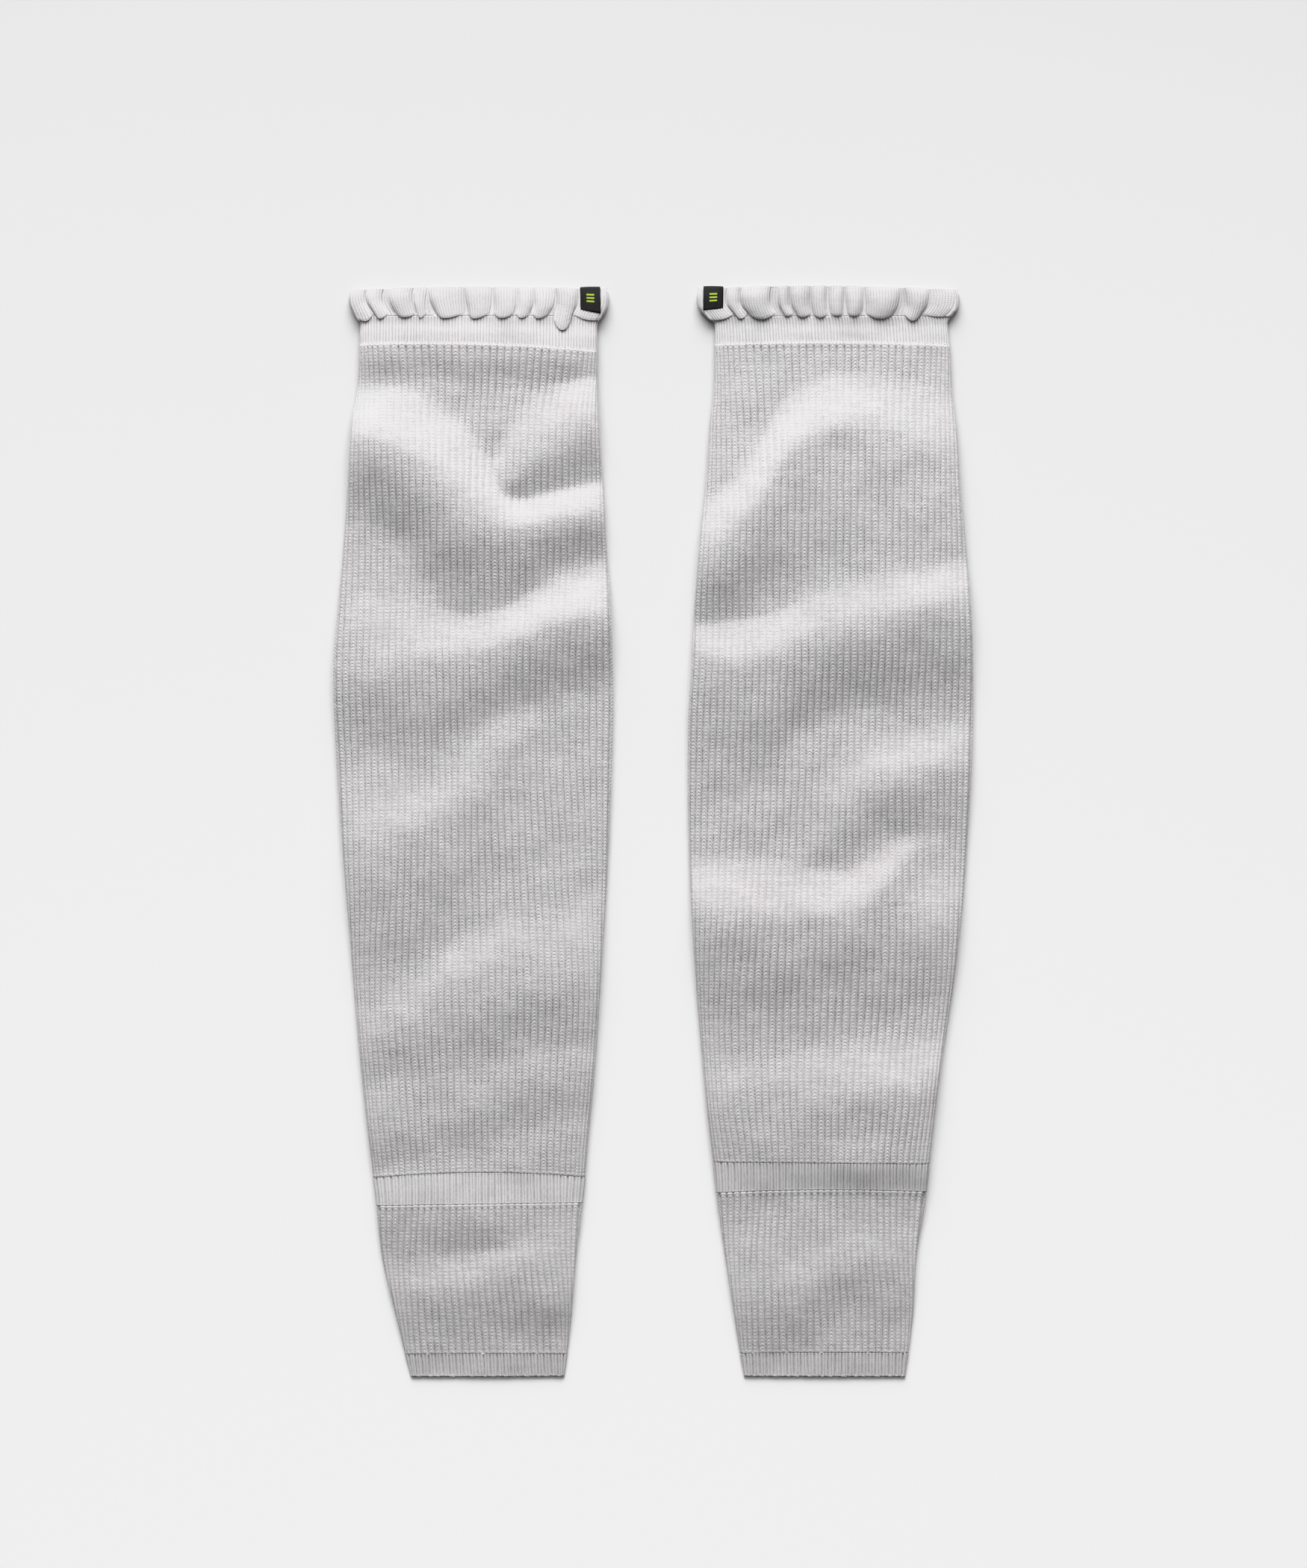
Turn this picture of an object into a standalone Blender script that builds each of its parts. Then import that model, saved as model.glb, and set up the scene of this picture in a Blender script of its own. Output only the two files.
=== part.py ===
"""A pair of knitted leg warmers with a gathered ruffle, laid flat side by side.

Each one is a tapering tube pressed flat, knitted in six stretches that follow each other from the
ruffle to the cuff, with a small woven label folded over the ruffle's rim.  Every stretch is a wall
of its own with an open mouth at both ends.  Its front carries the raised ribs and the soft folds,
its back lies on the floor, and its sides are round.

Lengths are in millimetres until the meshes are made, which are in metres.  X is measured from the
line halfway between the two leg warmers.  "down" runs from the top of the ruffle towards the cuff,
which is -Y in the finished part.  +Z is up.
"""
import math
from bisect import bisect_right
from collections import namedtuple

import bpy
import bmesh
from mathutils import Vector

MM = 0.001
SEAM_GAP = 0.3          # between stretches that follow each other
LAYER_GAP = 0.6         # between the front and back layers where they lie flat
LAYER_OPENING = 3.2     # most that a fold parts the layers, a higher one lifts both
FOLD_AT_SIDE = 0.72     # share of a fold's height that is left at the side of the tube
FOLD_SIDE_REACH = 14.0  # distance from the side over which the fold gains its full height
FOLD_END_REACH = 14.0   # distance past a fold's end over which it fades
INSIDE_COLUMNS = 9      # points across each layer's plain inside

# Each stretch runs from one seam to another.  Ribs are ridges and grooves of even pitch.
Stretch = namedtuple("Stretch", "name top bottom wall rib_pitch rib_height rows")
STRETCHES = (
    Stretch("top_band", "gather", "band", 1.7, 1.65, 0.3, 1),
    Stretch("leg", "band", "ankle_top", 2.3, 3.8, 0.65, 20),
    Stretch("ankle_rib", "ankle_top", "ankle_bottom", 2.1, 3.5, 0.45, 1),
    Stretch("lower_leg", "ankle_bottom", "cuff", 2.0, 3.75, 0.65, 5),
    Stretch("cuff", "cuff", "hem", 1.4, 3.7, 0.4, 1),
)

# How far down each seam lies at the left side, in the middle and at the right side.
Seam = namedtuple("Seam", "left middle right")
SEAMS = {
    "left": {
        "rim": Seam(2.8, 1.0, 2.3),
        "gather": Seam(17.6, 17.4, 17.8),
        "band": Seam(33.0, 33.0, 36.8),
        "ankle_top": Seam(490.7, 487.8, 490.3),
        "ankle_bottom": Seam(505.7, 504.9, 504.2),
        "cuff": Seam(588.0, 587.6, 587.8),
        "hem": Seam(600.0, 600.0, 599.8),
    },
    "right": {
        "rim": Seam(2.0, 0.4, 2.8),
        "gather": Seam(17.8, 17.4, 17.6),
        "band": Seam(33.0, 31.9, 33.5),
        "ankle_top": Seam(482.1, 482.5, 482.9),
        "ankle_bottom": Seam(498.8, 497.2, 498.2),
        "cuff": Seam(587.4, 587.0, 587.2),
        "hem": Seam(599.8, 600.0, 600.0),
    },
}

# Where the two sides of each flat tube lie.
Side = namedtuple("Side", "down left right")
SIDES = {
    "left": (
        Side(0.0, -165.6, -26.2),
        Side(4.0, -167.2, -24.8),
        Side(9.0, -167.4, -24.6),
        Side(13.0, -166.2, -25.4),
        Side(17.5, -163.4, -28.6),
        Side(21.0, -161.6, -30.6),
        Side(37.0, -161.6, -30.9),
        Side(57.0, -162.8, -30.7),
        Side(74.0, -165.7, -29.7),
        Side(107.0, -168.1, -27.6),
        Side(139.0, -170.2, -25.8),
        Side(172.0, -173.1, -23.6),
        Side(205.0, -175.9, -22.3),
        Side(238.0, -175.5, -22.3),
        Side(303.0, -171.4, -24.4),
        Side(369.0, -166.1, -28.1),
        Side(434.0, -160.4, -32.6),
        Side(467.0, -156.7, -35.8),
        Side(500.0, -152.7, -38.5),
        Side(532.0, -149.5, -42.2),
        Side(565.0, -141.9, -44.9),
        Side(600.0, -133.7, -48.9),
    ),
    "right": (
        Side(0.0, 25.0, 166.6),
        Side(4.0, 23.8, 167.8),
        Side(9.0, 23.6, 168.0),
        Side(13.0, 24.8, 167.2),
        Side(17.5, 29.6, 163.6),
        Side(21.0, 33.0, 161.8),
        Side(37.0, 33.4, 163.0),
        Side(57.0, 32.9, 163.9),
        Side(74.0, 30.9, 166.1),
        Side(107.0, 28.5, 168.5),
        Side(139.0, 25.2, 171.4),
        Side(172.0, 22.3, 173.9),
        Side(205.0, 20.7, 175.5),
        Side(238.0, 18.8, 175.5),
        Side(303.0, 19.0, 172.6),
        Side(369.0, 21.9, 166.9),
        Side(434.0, 27.2, 157.3),
        Side(467.0, 30.5, 153.4),
        Side(500.0, 34.6, 149.7),
        Side(532.0, 39.1, 144.6),
        Side(565.0, 44.0, 142.7),
        Side(600.0, 49.4, 138.5),
    ),
}

# Points along each fold's crest.  The front rises to the crest on the ruffle's side and falls from it
# on the cuff's side, over these distances.
Crest = namedtuple("Crest", "x down height rise fall")
FOLDS = {
    "left": {
        "under_band": (
            Crest(-165.0, 36.0, 2.2, 46.0, 20.0), Crest(-96.0, 36.0, 2.6, 46.0, 20.0),
            Crest(-30.0, 39.0, 2.6, 46.0, 20.0),
        ),
        "valley_arm": (
            Crest(-172.0, 86.0, 8.4, 34.0, 48.0), Crest(-150.0, 90.0, 9.2, 38.0, 52.0),
            Crest(-135.0, 97.0, 9.4, 44.0, 58.0), Crest(-120.0, 111.0, 9.2, 54.0, 64.0),
            Crest(-105.0, 127.0, 8.6, 60.0, 58.0), Crest(-90.0, 134.5, 7.2, 44.0, 48.0),
            Crest(-75.0, 136.0, 6.0, 25.0, 40.0), Crest(-55.0, 132.0, 5.2, 24.0, 27.0),
            Crest(-26.0, 127.0, 5.0, 24.0, 25.0),
        ),
        "upper_arm": (
            Crest(-90.0, 115.0, 1.2, 18.0, 14.0), Crest(-80.0, 106.5, 3.6, 34.0, 20.0),
            Crest(-65.0, 94.0, 4.4, 38.0, 29.0), Crest(-55.0, 87.0, 5.0, 36.0, 34.0),
            Crest(-44.0, 81.0, 5.8, 36.0, 35.0), Crest(-26.0, 75.0, 6.4, 36.0, 37.0),
        ),
        "crossing": (
            Crest(-175.0, 212.0, 5.0, 66.0, 46.0), Crest(-145.0, 214.0, 5.6, 54.0, 50.0),
            Crest(-120.0, 213.0, 5.2, 36.0, 50.0), Crest(-95.0, 205.0, 4.6, 27.0, 40.0),
            Crest(-75.0, 198.0, 5.0, 27.0, 40.0), Crest(-55.0, 190.0, 6.4, 32.0, 44.0),
            Crest(-23.0, 185.0, 7.4, 36.0, 40.0),
        ),
        "short_slant": (
            Crest(-172.0, 316.0, 5.0, 56.0, 72.0), Crest(-145.0, 315.0, 5.0, 50.0, 74.0),
            Crest(-115.0, 301.0, 4.0, 42.0, 62.0), Crest(-95.0, 280.0, 2.8, 42.0, 60.0),
            Crest(-78.0, 257.0, 1.2, 26.0, 50.0),
        ),
        "long_slant": (
            Crest(-160.0, 417.0, 1.2, 26.0, 30.0), Crest(-135.0, 409.0, 2.1, 32.0, 40.0),
            Crest(-115.0, 397.0, 2.8, 36.0, 48.0), Crest(-95.0, 388.0, 3.4, 40.0, 54.0),
            Crest(-65.0, 383.0, 3.8, 54.0, 54.0), Crest(-25.0, 382.0, 4.2, 58.0, 54.0),
        ),
        "ankle_slant": (
            Crest(-155.0, 466.0, 1.8, 34.0, 26.0), Crest(-125.0, 457.0, 1.3, 34.0, 26.0),
            Crest(-95.0, 446.0, 1.1, 32.0, 28.0), Crest(-65.0, 434.0, 1.6, 26.0, 30.0),
            Crest(-32.0, 431.0, 2.0, 26.0, 32.0),
        ),
        "below_ankle": (
            Crest(-150.0, 512.0, 1.6, 34.0, 24.0), Crest(-115.0, 509.0, 1.6, 34.0, 24.0),
            Crest(-85.0, 515.0, 1.2, 36.0, 22.0), Crest(-66.0, 520.0, 0.6, 30.0, 20.0),
        ),
        "above_cuff": (
            Crest(-148.0, 558.0, 1.5, 24.0, 28.0), Crest(-95.0, 552.0, 1.9, 26.0, 30.0),
            Crest(-70.0, 552.0, 2.8, 44.0, 28.0), Crest(-42.0, 554.0, 3.2, 50.0, 28.0),
        ),
    },
    "right": {
        "top_swell": (
            Crest(28.0, 112.0, 3.0, 104.0, 60.0), Crest(75.0, 92.0, 2.8, 84.0, 60.0),
            Crest(120.0, 86.0, 2.6, 78.0, 56.0), Crest(165.0, 84.0, 2.2, 76.0, 50.0),
        ),
        "arc": (
            Crest(26.0, 144.0, 6.2, 42.0, 36.0), Crest(50.0, 138.5, 6.2, 54.0, 40.0),
            Crest(64.0, 126.0, 6.2, 60.0, 46.0), Crest(75.0, 104.0, 6.2, 52.0, 64.0),
            Crest(85.0, 90.0, 6.0, 42.0, 66.0), Crest(100.0, 84.0, 5.6, 42.0, 66.0),
            Crest(125.0, 86.0, 4.8, 42.0, 56.0), Crest(170.0, 84.0, 3.6, 42.0, 54.0),
        ),
        "crossing": (
            Crest(20.0, 206.0, 5.0, 30.0, 76.0), Crest(45.0, 211.0, 5.6, 37.0, 78.0),
            Crest(65.0, 209.0, 6.0, 41.0, 66.0), Crest(80.0, 201.0, 6.4, 44.0, 50.0),
            Crest(100.0, 194.0, 7.2, 50.0, 46.0), Crest(125.0, 187.0, 8.0, 50.0, 54.0),
            Crest(145.0, 182.0, 8.2, 45.0, 56.0), Crest(175.0, 178.0, 8.2, 44.0, 58.0),
        ),
        "short_slant": (
            Crest(88.0, 306.0, 0.8, 30.0, 20.0), Crest(105.0, 290.0, 2.4, 42.0, 28.0),
            Crest(120.0, 278.0, 3.4, 36.0, 30.0), Crest(145.0, 272.0, 3.6, 34.0, 36.0),
            Crest(175.0, 268.0, 3.2, 33.0, 44.0),
        ),
        "knee_fold": (
            Crest(20.0, 347.0, 6.2, 36.0, 66.0), Crest(55.0, 352.0, 5.8, 42.0, 64.0),
            Crest(85.0, 351.0, 5.2, 36.0, 64.0), Crest(108.0, 348.0, 5.0, 32.0, 58.0),
            Crest(124.0, 338.0, 4.0, 32.0, 52.0), Crest(138.0, 322.0, 2.2, 24.0, 40.0),
            Crest(150.0, 310.0, 0.8, 18.0, 30.0),
        ),
        "knee_flare": (
            Crest(98.0, 356.0, 2.0, 40.0, 56.0), Crest(125.0, 352.0, 3.8, 44.0, 56.0),
            Crest(170.0, 356.0, 3.6, 46.0, 52.0),
        ),
        "shin": (
            Crest(28.0, 456.0, 2.8, 40.0, 54.0), Crest(65.0, 455.0, 3.0, 38.0, 54.0),
            Crest(95.0, 448.0, 3.8, 36.0, 56.0), Crest(125.0, 448.0, 5.2, 37.0, 58.0),
            Crest(158.0, 444.0, 5.4, 38.0, 58.0),
        ),
        "ankle": (
            Crest(40.0, 478.0, 1.4, 30.0, 32.0), Crest(80.0, 477.0, 2.6, 32.0, 26.0),
            Crest(110.0, 481.0, 3.4, 36.0, 22.0), Crest(152.0, 482.0, 3.8, 38.0, 24.0),
        ),
        "above_cuff": (
            Crest(38.0, 560.0, 2.3, 44.0, 30.0), Crest(80.0, 556.0, 2.3, 44.0, 32.0),
            Crest(105.0, 542.0, 1.7, 36.0, 30.0), Crest(145.0, 544.0, 1.8, 34.0, 32.0),
        ),
    },
}

# The gathered lobes of the ruffle.  "drop" is how far a lobe hangs over the band below it.
Lobe = namedtuple("Lobe", "left right drop height")
LOBES = {
    "left": (
        Lobe(-169.5, -158.1, 3.2, 2.8),
        Lobe(-158.1, -147.4, 2.0, 2.8),
        Lobe(-147.4, -132.3, 1.2, 3.2),
        Lobe(-132.3, -123.5, 1.2, 2.0),
        Lobe(-123.5, -103.8, 1.7, 3.1),
        Lobe(-103.8, -88.4, 2.0, 3.1),
        Lobe(-88.4, -74.7, 1.9, 3.2),
        Lobe(-74.7, -66.5, 1.5, 2.6),
        Lobe(-66.5, -53.3, 1.6, 3.1),
        Lobe(-53.3, -41.8, 8.0, 3.6),
        Lobe(-41.8, -23.7, 2.6, 2.6),
    ),
    "right": (
        Lobe(22.0, 39.7, 2.6, 2.6),
        Lobe(39.7, 47.3, 1.8, 2.3),
        Lobe(47.3, 63.8, 2.6, 3.6),
        Lobe(63.8, 68.7, 0.4, 1.6),
        Lobe(68.7, 74.2, 0.4, 2.8),
        Lobe(74.2, 85.7, 1.4, 3.2),
        Lobe(85.7, 95.2, 1.2, 2.9),
        Lobe(95.2, 104.3, 0.5, 2.8),
        Lobe(104.3, 115.4, 0.8, 3.1),
        Lobe(115.4, 135.1, 1.6, 3.6),
        Lobe(135.1, 137.9, 0.2, 0.6),
        Lobe(137.9, 151.0, 2.4, 3.2),
        Lobe(151.0, 169.5, 1.0, 2.0),
    ),
}
LOBE_COLUMNS = (0.0, 0.12, 0.32, 0.68, 0.88)  # shares of a lobe's width where its points lie
RUFFLE_WALL = 1.7
RUFFLE_WIDEST = 9.0      # how far down the ruffle is widest
ROUND_FROM = 0.985       # share of the flat part past which no lobe point lies
RIM_SCALLOP = 0.5        # how far a lobe pushes the rim outwards
LIP_CLEARANCE = 0.75     # height of the ruffle's lower edge over the band's grooves
INSIDE_FOLLOWS = 0.62    # share of a lobe's height that the inside follows

# Rows of the ruffle from the rim to the seam.  "way" is the share of that distance, and "bulge",
# "hang" and "lip" are the shares of a lobe's height, of its drop and of the lip's clearance.
RuffleRow = namedtuple("RuffleRow", "way bulge hang lip")
RUFFLE_ROWS = (
    RuffleRow(0.00, 0.55, 0.0, 0.0),
    RuffleRow(0.10, 0.90, 0.0, 0.0),
    RuffleRow(0.46, 1.00, 0.0, 0.0),
    RuffleRow(0.87, 0.76, 0.0, 0.0),
    RuffleRow(0.95, 0.45, 1.0, 1.0),
    RuffleRow(0.97, 0.00, 0.9, 1.0),
    RuffleRow(1.00, 0.00, 0.0, 1.0),
)
RUFFLE_INSIDE_ROWS = (RUFFLE_ROWS[0], RUFFLE_ROWS[2], RuffleRow(1.00, 0.00, 0.0, 0.0))

Label = namedtuple("Label", "left right")
LABELS = {"left": Label(-40.3, -29.4), "right": Label(27.4, 38.2)}
LABEL_ROWS = 4           # the label covers the ruffle's first rows
LABEL_COLUMNS = 5
LABEL_GAP = 0.5
LABEL_THICKNESS = 0.7
LABEL_TURN = 2.4         # length of the end that is folded down over the rim

STEADY_SHARE = 0.7                        # share of the ribs that keep their pitch
SIDE_LEANS = (45.0, 90.0, 135.0, 180.0)   # where the ruffle's points lie round its sides
UNDER_PLACES = (0.75, 0.5, 0.25, 0.0)     # where points lie across the back

SHARP_FROM = math.radians(27.0)
YARN = ("pale_grey_yarn", (0.60, 0.585, 0.59), 0.9)
LABEL_CLOTH = ("black_label_cloth", (0.018, 0.018, 0.02), 0.7)


def ease(share):
    """Rise smoothly from 0 to 1 as the share does."""
    share = min(max(share, 0.0), 1.0)
    return share * share * (3.0 - 2.0 * share)


def through(places, values, at):
    """Value at a place on the smooth curve through the given ones."""
    i = min(max(bisect_right(places, at) - 1, 0), len(places) - 2)
    span = places[i + 1] - places[i]
    share = (at - places[i]) / span

    def slope(k):
        before, after = max(k - 1, 0), min(k + 1, len(places) - 1)
        return span * (values[after] - values[before]) / (places[after] - places[before])

    if share < 0.0:
        return values[i] + share * slope(i)
    if share > 1.0:
        return values[i + 1] + (share - 1.0) * slope(i + 1)
    rest = 1.0 - share
    return (rest * rest * ((1.0 + 2.0 * share) * values[i] + share * slope(i))
            + share * share * ((3.0 - 2.0 * share) * values[i + 1] - rest * slope(i + 1)))


def middle_and_half(side, down):
    """Centre line and half width of one leg warmer, so far down."""
    rows = SIDES[side]
    places = [row.down for row in rows]
    left = through(places, [row.left for row in rows], down)
    right = through(places, [row.right for row in rows], down)
    return (left + right) / 2.0, (right - left) / 2.0


def seam_down(seam, across):
    """How far down a seam lies, where across runs from -1 at the left side to 1 at the right."""
    tilt = (seam.right - seam.left) / 2.0
    bow = (seam.right + seam.left) / 2.0 - seam.middle
    return seam.middle + tilt * across + bow * across * across


def crest_at(crests, x):
    """Crest of one fold over a place, between its two ends."""
    places = [crest.x for crest in crests]
    x = min(max(x, places[0]), places[-1])
    columns = list(zip(*crests))
    return Crest(x, *[through(places, column, x) for column in columns[1:]])


def fold_height(side, x, down):
    """Height that the folds lift the front at a point, the largest one winning smoothly."""
    middle, half = middle_and_half(side, down)
    total = 0.0
    for crests in FOLDS[side].values():
        crest = crest_at(crests, x)
        past_end = abs(x - crest.x)
        reach = crest.rise if down < crest.down else crest.fall
        share = abs(down - crest.down) / reach
        if share < 1.0 and past_end < FOLD_END_REACH:
            height = crest.height * 0.5 * (1.0 + math.cos(math.pi * share))
            total += (height * (1.0 - ease(past_end / FOLD_END_REACH))) ** 3
    from_side = half - abs(x - middle)
    full = FOLD_AT_SIDE + (1.0 - FOLD_AT_SIDE) * ease(from_side / FOLD_SIDE_REACH)
    return full * total ** (1.0 / 3.0)


class Skin:
    """The outer or inner skin of a flattened tube, seen in its cross-section."""

    def __init__(self, half, wall, inset):
        self.radius = wall + LAYER_GAP / 2.0 - inset
        self.flat = half - self.radius - inset
        self.floor = inset

    def at(self, across, lean):
        """Point of the skin, with across from -1 to 1 over the flat part.

        The lean is the angle from straight up: 0 on the front, 180 degrees on the back.
        """
        x = across * self.flat + self.radius * math.sin(lean)
        z = self.floor + self.radius * (1.0 + math.cos(lean))
        return x, z, lean

    def along(self, run):
        """Point at a distance along the skin from the middle of the front."""
        side = math.copysign(1.0, run)
        beyond = abs(run) - self.flat
        if beyond <= 0.0:
            return self.at(run / self.flat, 0.0)
        lean = beyond / self.radius
        if lean < math.pi:
            return self.at(side, side * lean)
        under = (beyond - math.pi * self.radius) / self.flat
        return self.at(side * (1.0 - under), side * math.pi)

    def order(self, x, lean):
        """Place in the round from the middle of the back over the front and back again, -3 to 3."""
        if lean == 0.0:
            return x / self.flat
        if abs(lean) < math.pi:
            return math.copysign(1.0 + abs(lean) / math.pi, lean)
        return math.copysign(3.0 - abs(x) / self.flat, lean)


def place(side, x, down, z, lean):
    """Lift a point of the cross-section with the folds, and turn down into -Y."""
    lift = fold_height(side, x, down)
    back_lift = max(lift - LAYER_OPENING, 0.0)
    front = (1.0 + math.cos(lean)) / 2.0
    return Vector((x, -down, z + front * lift + (1.0 - front) * back_lift)) * MM


def ribbed_section(skin, stretch, steps):
    """Cross-section points of a ribbed skin: (x, z, lean) from the middle of the back.

    There are so many steps, of half a rib each, from the middle of the front round to the floor.
    They keep their width over the middle of the front and crowd together towards the sides.
    """
    width = stretch.rib_pitch / 2.0
    steady = round(steps * STEADY_SHARE)
    crowded = (skin.flat + math.pi * skin.radius - steady * width) / (steps - steady)
    section = [skin.at(-across, -math.pi) for across in reversed(UNDER_PLACES)]
    for k in range(-steps, steps + 1):
        run = min(abs(k), steady) * width + max(abs(k) - steady, 0) * crowded
        x, z, lean = skin.along(math.copysign(run, k))
        if k % 2:
            room = 1.0 if abs(k) <= steady else min(crowded / width, 1.0)
            raised = stretch.rib_height * room * ease(z / skin.radius)
            x += raised * math.sin(lean)
            z += raised * math.cos(lean)
        section.append((x, z, lean))
    return section + [skin.at(across, math.pi) for across in UNDER_PLACES[:-1]]


def ribbed_ring(side, stretch, way, top, bottom, steps):
    """Outer ring of a ribbed stretch and each point's order in the round."""
    level = seam_down(top, 0.0) * (1.0 - way) + seam_down(bottom, 0.0) * way
    middle, half = middle_and_half(side, level)
    skin = Skin(half - stretch.rib_height / 2.0, stretch.wall, 0.0)
    points = []
    orders = []
    for x, z, lean in ribbed_section(skin, stretch, steps):
        across = x / half
        down = seam_down(top, across) * (1.0 - way) + seam_down(bottom, across) * way
        points.append(place(side, middle + x, down, z, lean))
        orders.append(skin.order(x, lean))
    return points, orders


def plain_ring(side, stretch, way, top, bottom):
    """Inner ring of a stretch, with the same points across the front and the back."""
    level = seam_down(top, 0.0) * (1.0 - way) + seam_down(bottom, 0.0) * way
    middle, half = middle_and_half(side, level)
    skin = Skin(half - stretch.rib_height / 2.0, stretch.wall, stretch.wall)
    shares = [2.0 * k / (INSIDE_COLUMNS - 1) - 1.0 for k in range(INSIDE_COLUMNS)]
    left_back = [(share, -math.pi) for share in reversed(shares) if share <= 0.0]
    right_back = [(share, math.pi) for share in reversed(shares) if share > 0.0]
    front = [(share, 0.0) for share in shares]
    section = left_back + [(-1.0, -math.pi / 2.0)] + front + [(1.0, math.pi / 2.0)] + right_back
    points = []
    orders = []
    for share, lean in section:
        x, z, lean = skin.at(share, lean)
        across = x / half
        down = seam_down(top, across) * (1.0 - way) + seam_down(bottom, across) * way
        points.append(place(side, middle + x, down, z, lean))
        orders.append(skin.order(x, lean))
    return points, orders


def lobe_at(side, x):
    """Lobe over a place on the ruffle, and how full it is there, from 0 at its sides to 1."""
    lobes = LOBES[side]
    lobe = next((each for each in lobes if x < each.right), lobes[-1])
    off = (2.0 * x - lobe.left - lobe.right) / (lobe.right - lobe.left)
    return lobe, math.sqrt(max(1.0 - off * off, 0.0))


def ruffle_span(side):
    """Middle and half width of the ruffle's flat part where it is widest."""
    middle, half = middle_and_half(side, RUFFLE_WIDEST)
    return middle, Skin(half, RUFFLE_WALL, 0.0).flat


def ruffle_columns(side):
    """Cross-section places round the ruffle: (across, lean) from the middle of the back."""
    middle, flat = ruffle_span(side)
    across = [(lobe.left + share * (lobe.right - lobe.left) - middle) / flat
              for lobe in LOBES[side] for share in LOBE_COLUMNS]
    lobes = [(share, 0.0) for share in across if abs(share) < ROUND_FROM]
    front = [(-1.0, 0.0)] + lobes + [(1.0, 0.0)]
    leans = [math.radians(angle) for angle in SIDE_LEANS]
    left_side = [(-1.0, -lean) for lean in reversed(leans)]
    right_side = [(1.0, lean) for lean in leans]
    left_back = [(-share, -math.pi) for share in reversed(UNDER_PLACES)]
    right_back = [(share, math.pi) for share in UNDER_PLACES[:-1]]
    return left_back + left_side + front + right_side + right_back


def ruffle_section(side, row, inset):
    """Middle and skin of the ruffle at one of its rows."""
    seams = SEAMS[side]
    level = seams["rim"].middle * (1.0 - row.way) + seams["gather"].middle * row.way
    middle, half = middle_and_half(side, level)
    return middle, Skin(half, RUFFLE_WALL, inset)


def ruffle_ring(side, columns, row, inset):
    """Points of one row of the ruffle, on its outer skin or inset by the wall."""
    rim = SEAMS[side]["rim"]
    gather = Seam(*[down - SEAM_GAP / 2.0 for down in SEAMS[side]["gather"]])
    widest_middle, widest_flat = ruffle_span(side)
    middle, skin = ruffle_section(side, row, inset)
    follow = INSIDE_FOLLOWS if inset else 1.0
    points = []
    orders = []
    for across, lean in columns:
        x, z, lean = skin.at(across, lean)
        lobe, full = lobe_at(side, widest_middle + across * widest_flat)
        front = (1.0 + math.cos(lean)) / 2.0
        full *= front
        down = seam_down(rim, across) * (1.0 - row.way) + seam_down(gather, across) * row.way
        down -= RIM_SCALLOP * full * (1.0 - row.way) ** 2
        if lean == 0.0:
            down += row.hang * lobe.drop * full
        z += follow * row.bulge * lobe.height * full + row.lip * LIP_CLEARANCE * front
        points.append(place(side, middle + x, down, z, lean))
        orders.append(skin.order(x, lean))
    return points, orders


def bridge_mouth(mesh, outer, inner, outer_orders, inner_orders):
    """Close one end of a wall with triangles between its outer and inner rings."""
    i = j = 0
    outer_orders = outer_orders + [3.0]
    inner_orders = inner_orders + [3.0]
    while i < len(outer) or j < len(inner):
        here_outer, here_inner = outer[i % len(outer)], inner[j % len(inner)]
        outer_next = i < len(outer) and (j == len(inner) or outer_orders[i + 1] <= inner_orders[j + 1])
        if outer_next:
            i += 1
            mesh.faces.new((here_outer, outer[i % len(outer)], here_inner))
        else:
            j += 1
            mesh.faces.new((here_outer, inner[j % len(inner)], here_inner))


def skin_rings(mesh, rings):
    """Make vertices for the rings, and faces between each ring and the next."""
    rows = [[mesh.verts.new(point) for point in ring] for ring in rings]
    for upper, lower in zip(rows, rows[1:]):
        for k in range(len(upper)):
            following = (k + 1) % len(upper)
            mesh.faces.new((upper[k], upper[following], lower[following], lower[k]))
    return rows


def make_object(name, mesh, material):
    """Turn a bmesh into a named object with its faces pointing out."""
    bmesh.ops.recalc_face_normals(mesh, faces=mesh.faces)
    data = bpy.data.meshes.new(name)
    mesh.to_mesh(data)
    mesh.free()
    data.shade_smooth()
    data.set_sharp_from_angle(angle=SHARP_FROM)
    data.materials.append(material)
    made = bpy.data.objects.new(name, data)
    bpy.context.scene.collection.objects.link(made)
    return made


def make_wall(name, outer, inner, material):
    """Solid wall between outer and inner rings, each given as a list of (points, orders)."""
    mesh = bmesh.new()
    outer_rows = skin_rings(mesh, [points for points, _ in outer])
    inner_rows = skin_rings(mesh, [points for points, _ in inner])
    for end in (0, -1):
        bridge_mouth(mesh, outer_rows[end], inner_rows[end], outer[end][1], inner[end][1])
    return make_object(name, mesh, material)


def make_stretch(side, stretch, material):
    """One ribbed stretch of the tube, half a seam's gap short at each joined end."""
    top, bottom = SEAMS[side][stretch.top], SEAMS[side][stretch.bottom]
    top = Seam(*[down + SEAM_GAP / 2.0 for down in top])
    if stretch.bottom != "hem":
        bottom = Seam(*[down - SEAM_GAP / 2.0 for down in bottom])
    ways = [k / stretch.rows for k in range(stretch.rows + 1)]
    levels = [top.middle * (1.0 - way) + bottom.middle * way for way in ways]
    widest = Skin(max(middle_and_half(side, level)[1] for level in levels), stretch.wall, 0.0)
    steps = round((widest.flat + math.pi * widest.radius) / (stretch.rib_pitch / 2.0))
    outer = [ribbed_ring(side, stretch, way, top, bottom, steps) for way in ways]
    inner = [plain_ring(side, stretch, way, top, bottom) for way in ways]
    return make_wall(side + "_" + stretch.name, outer, inner, material)


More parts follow.
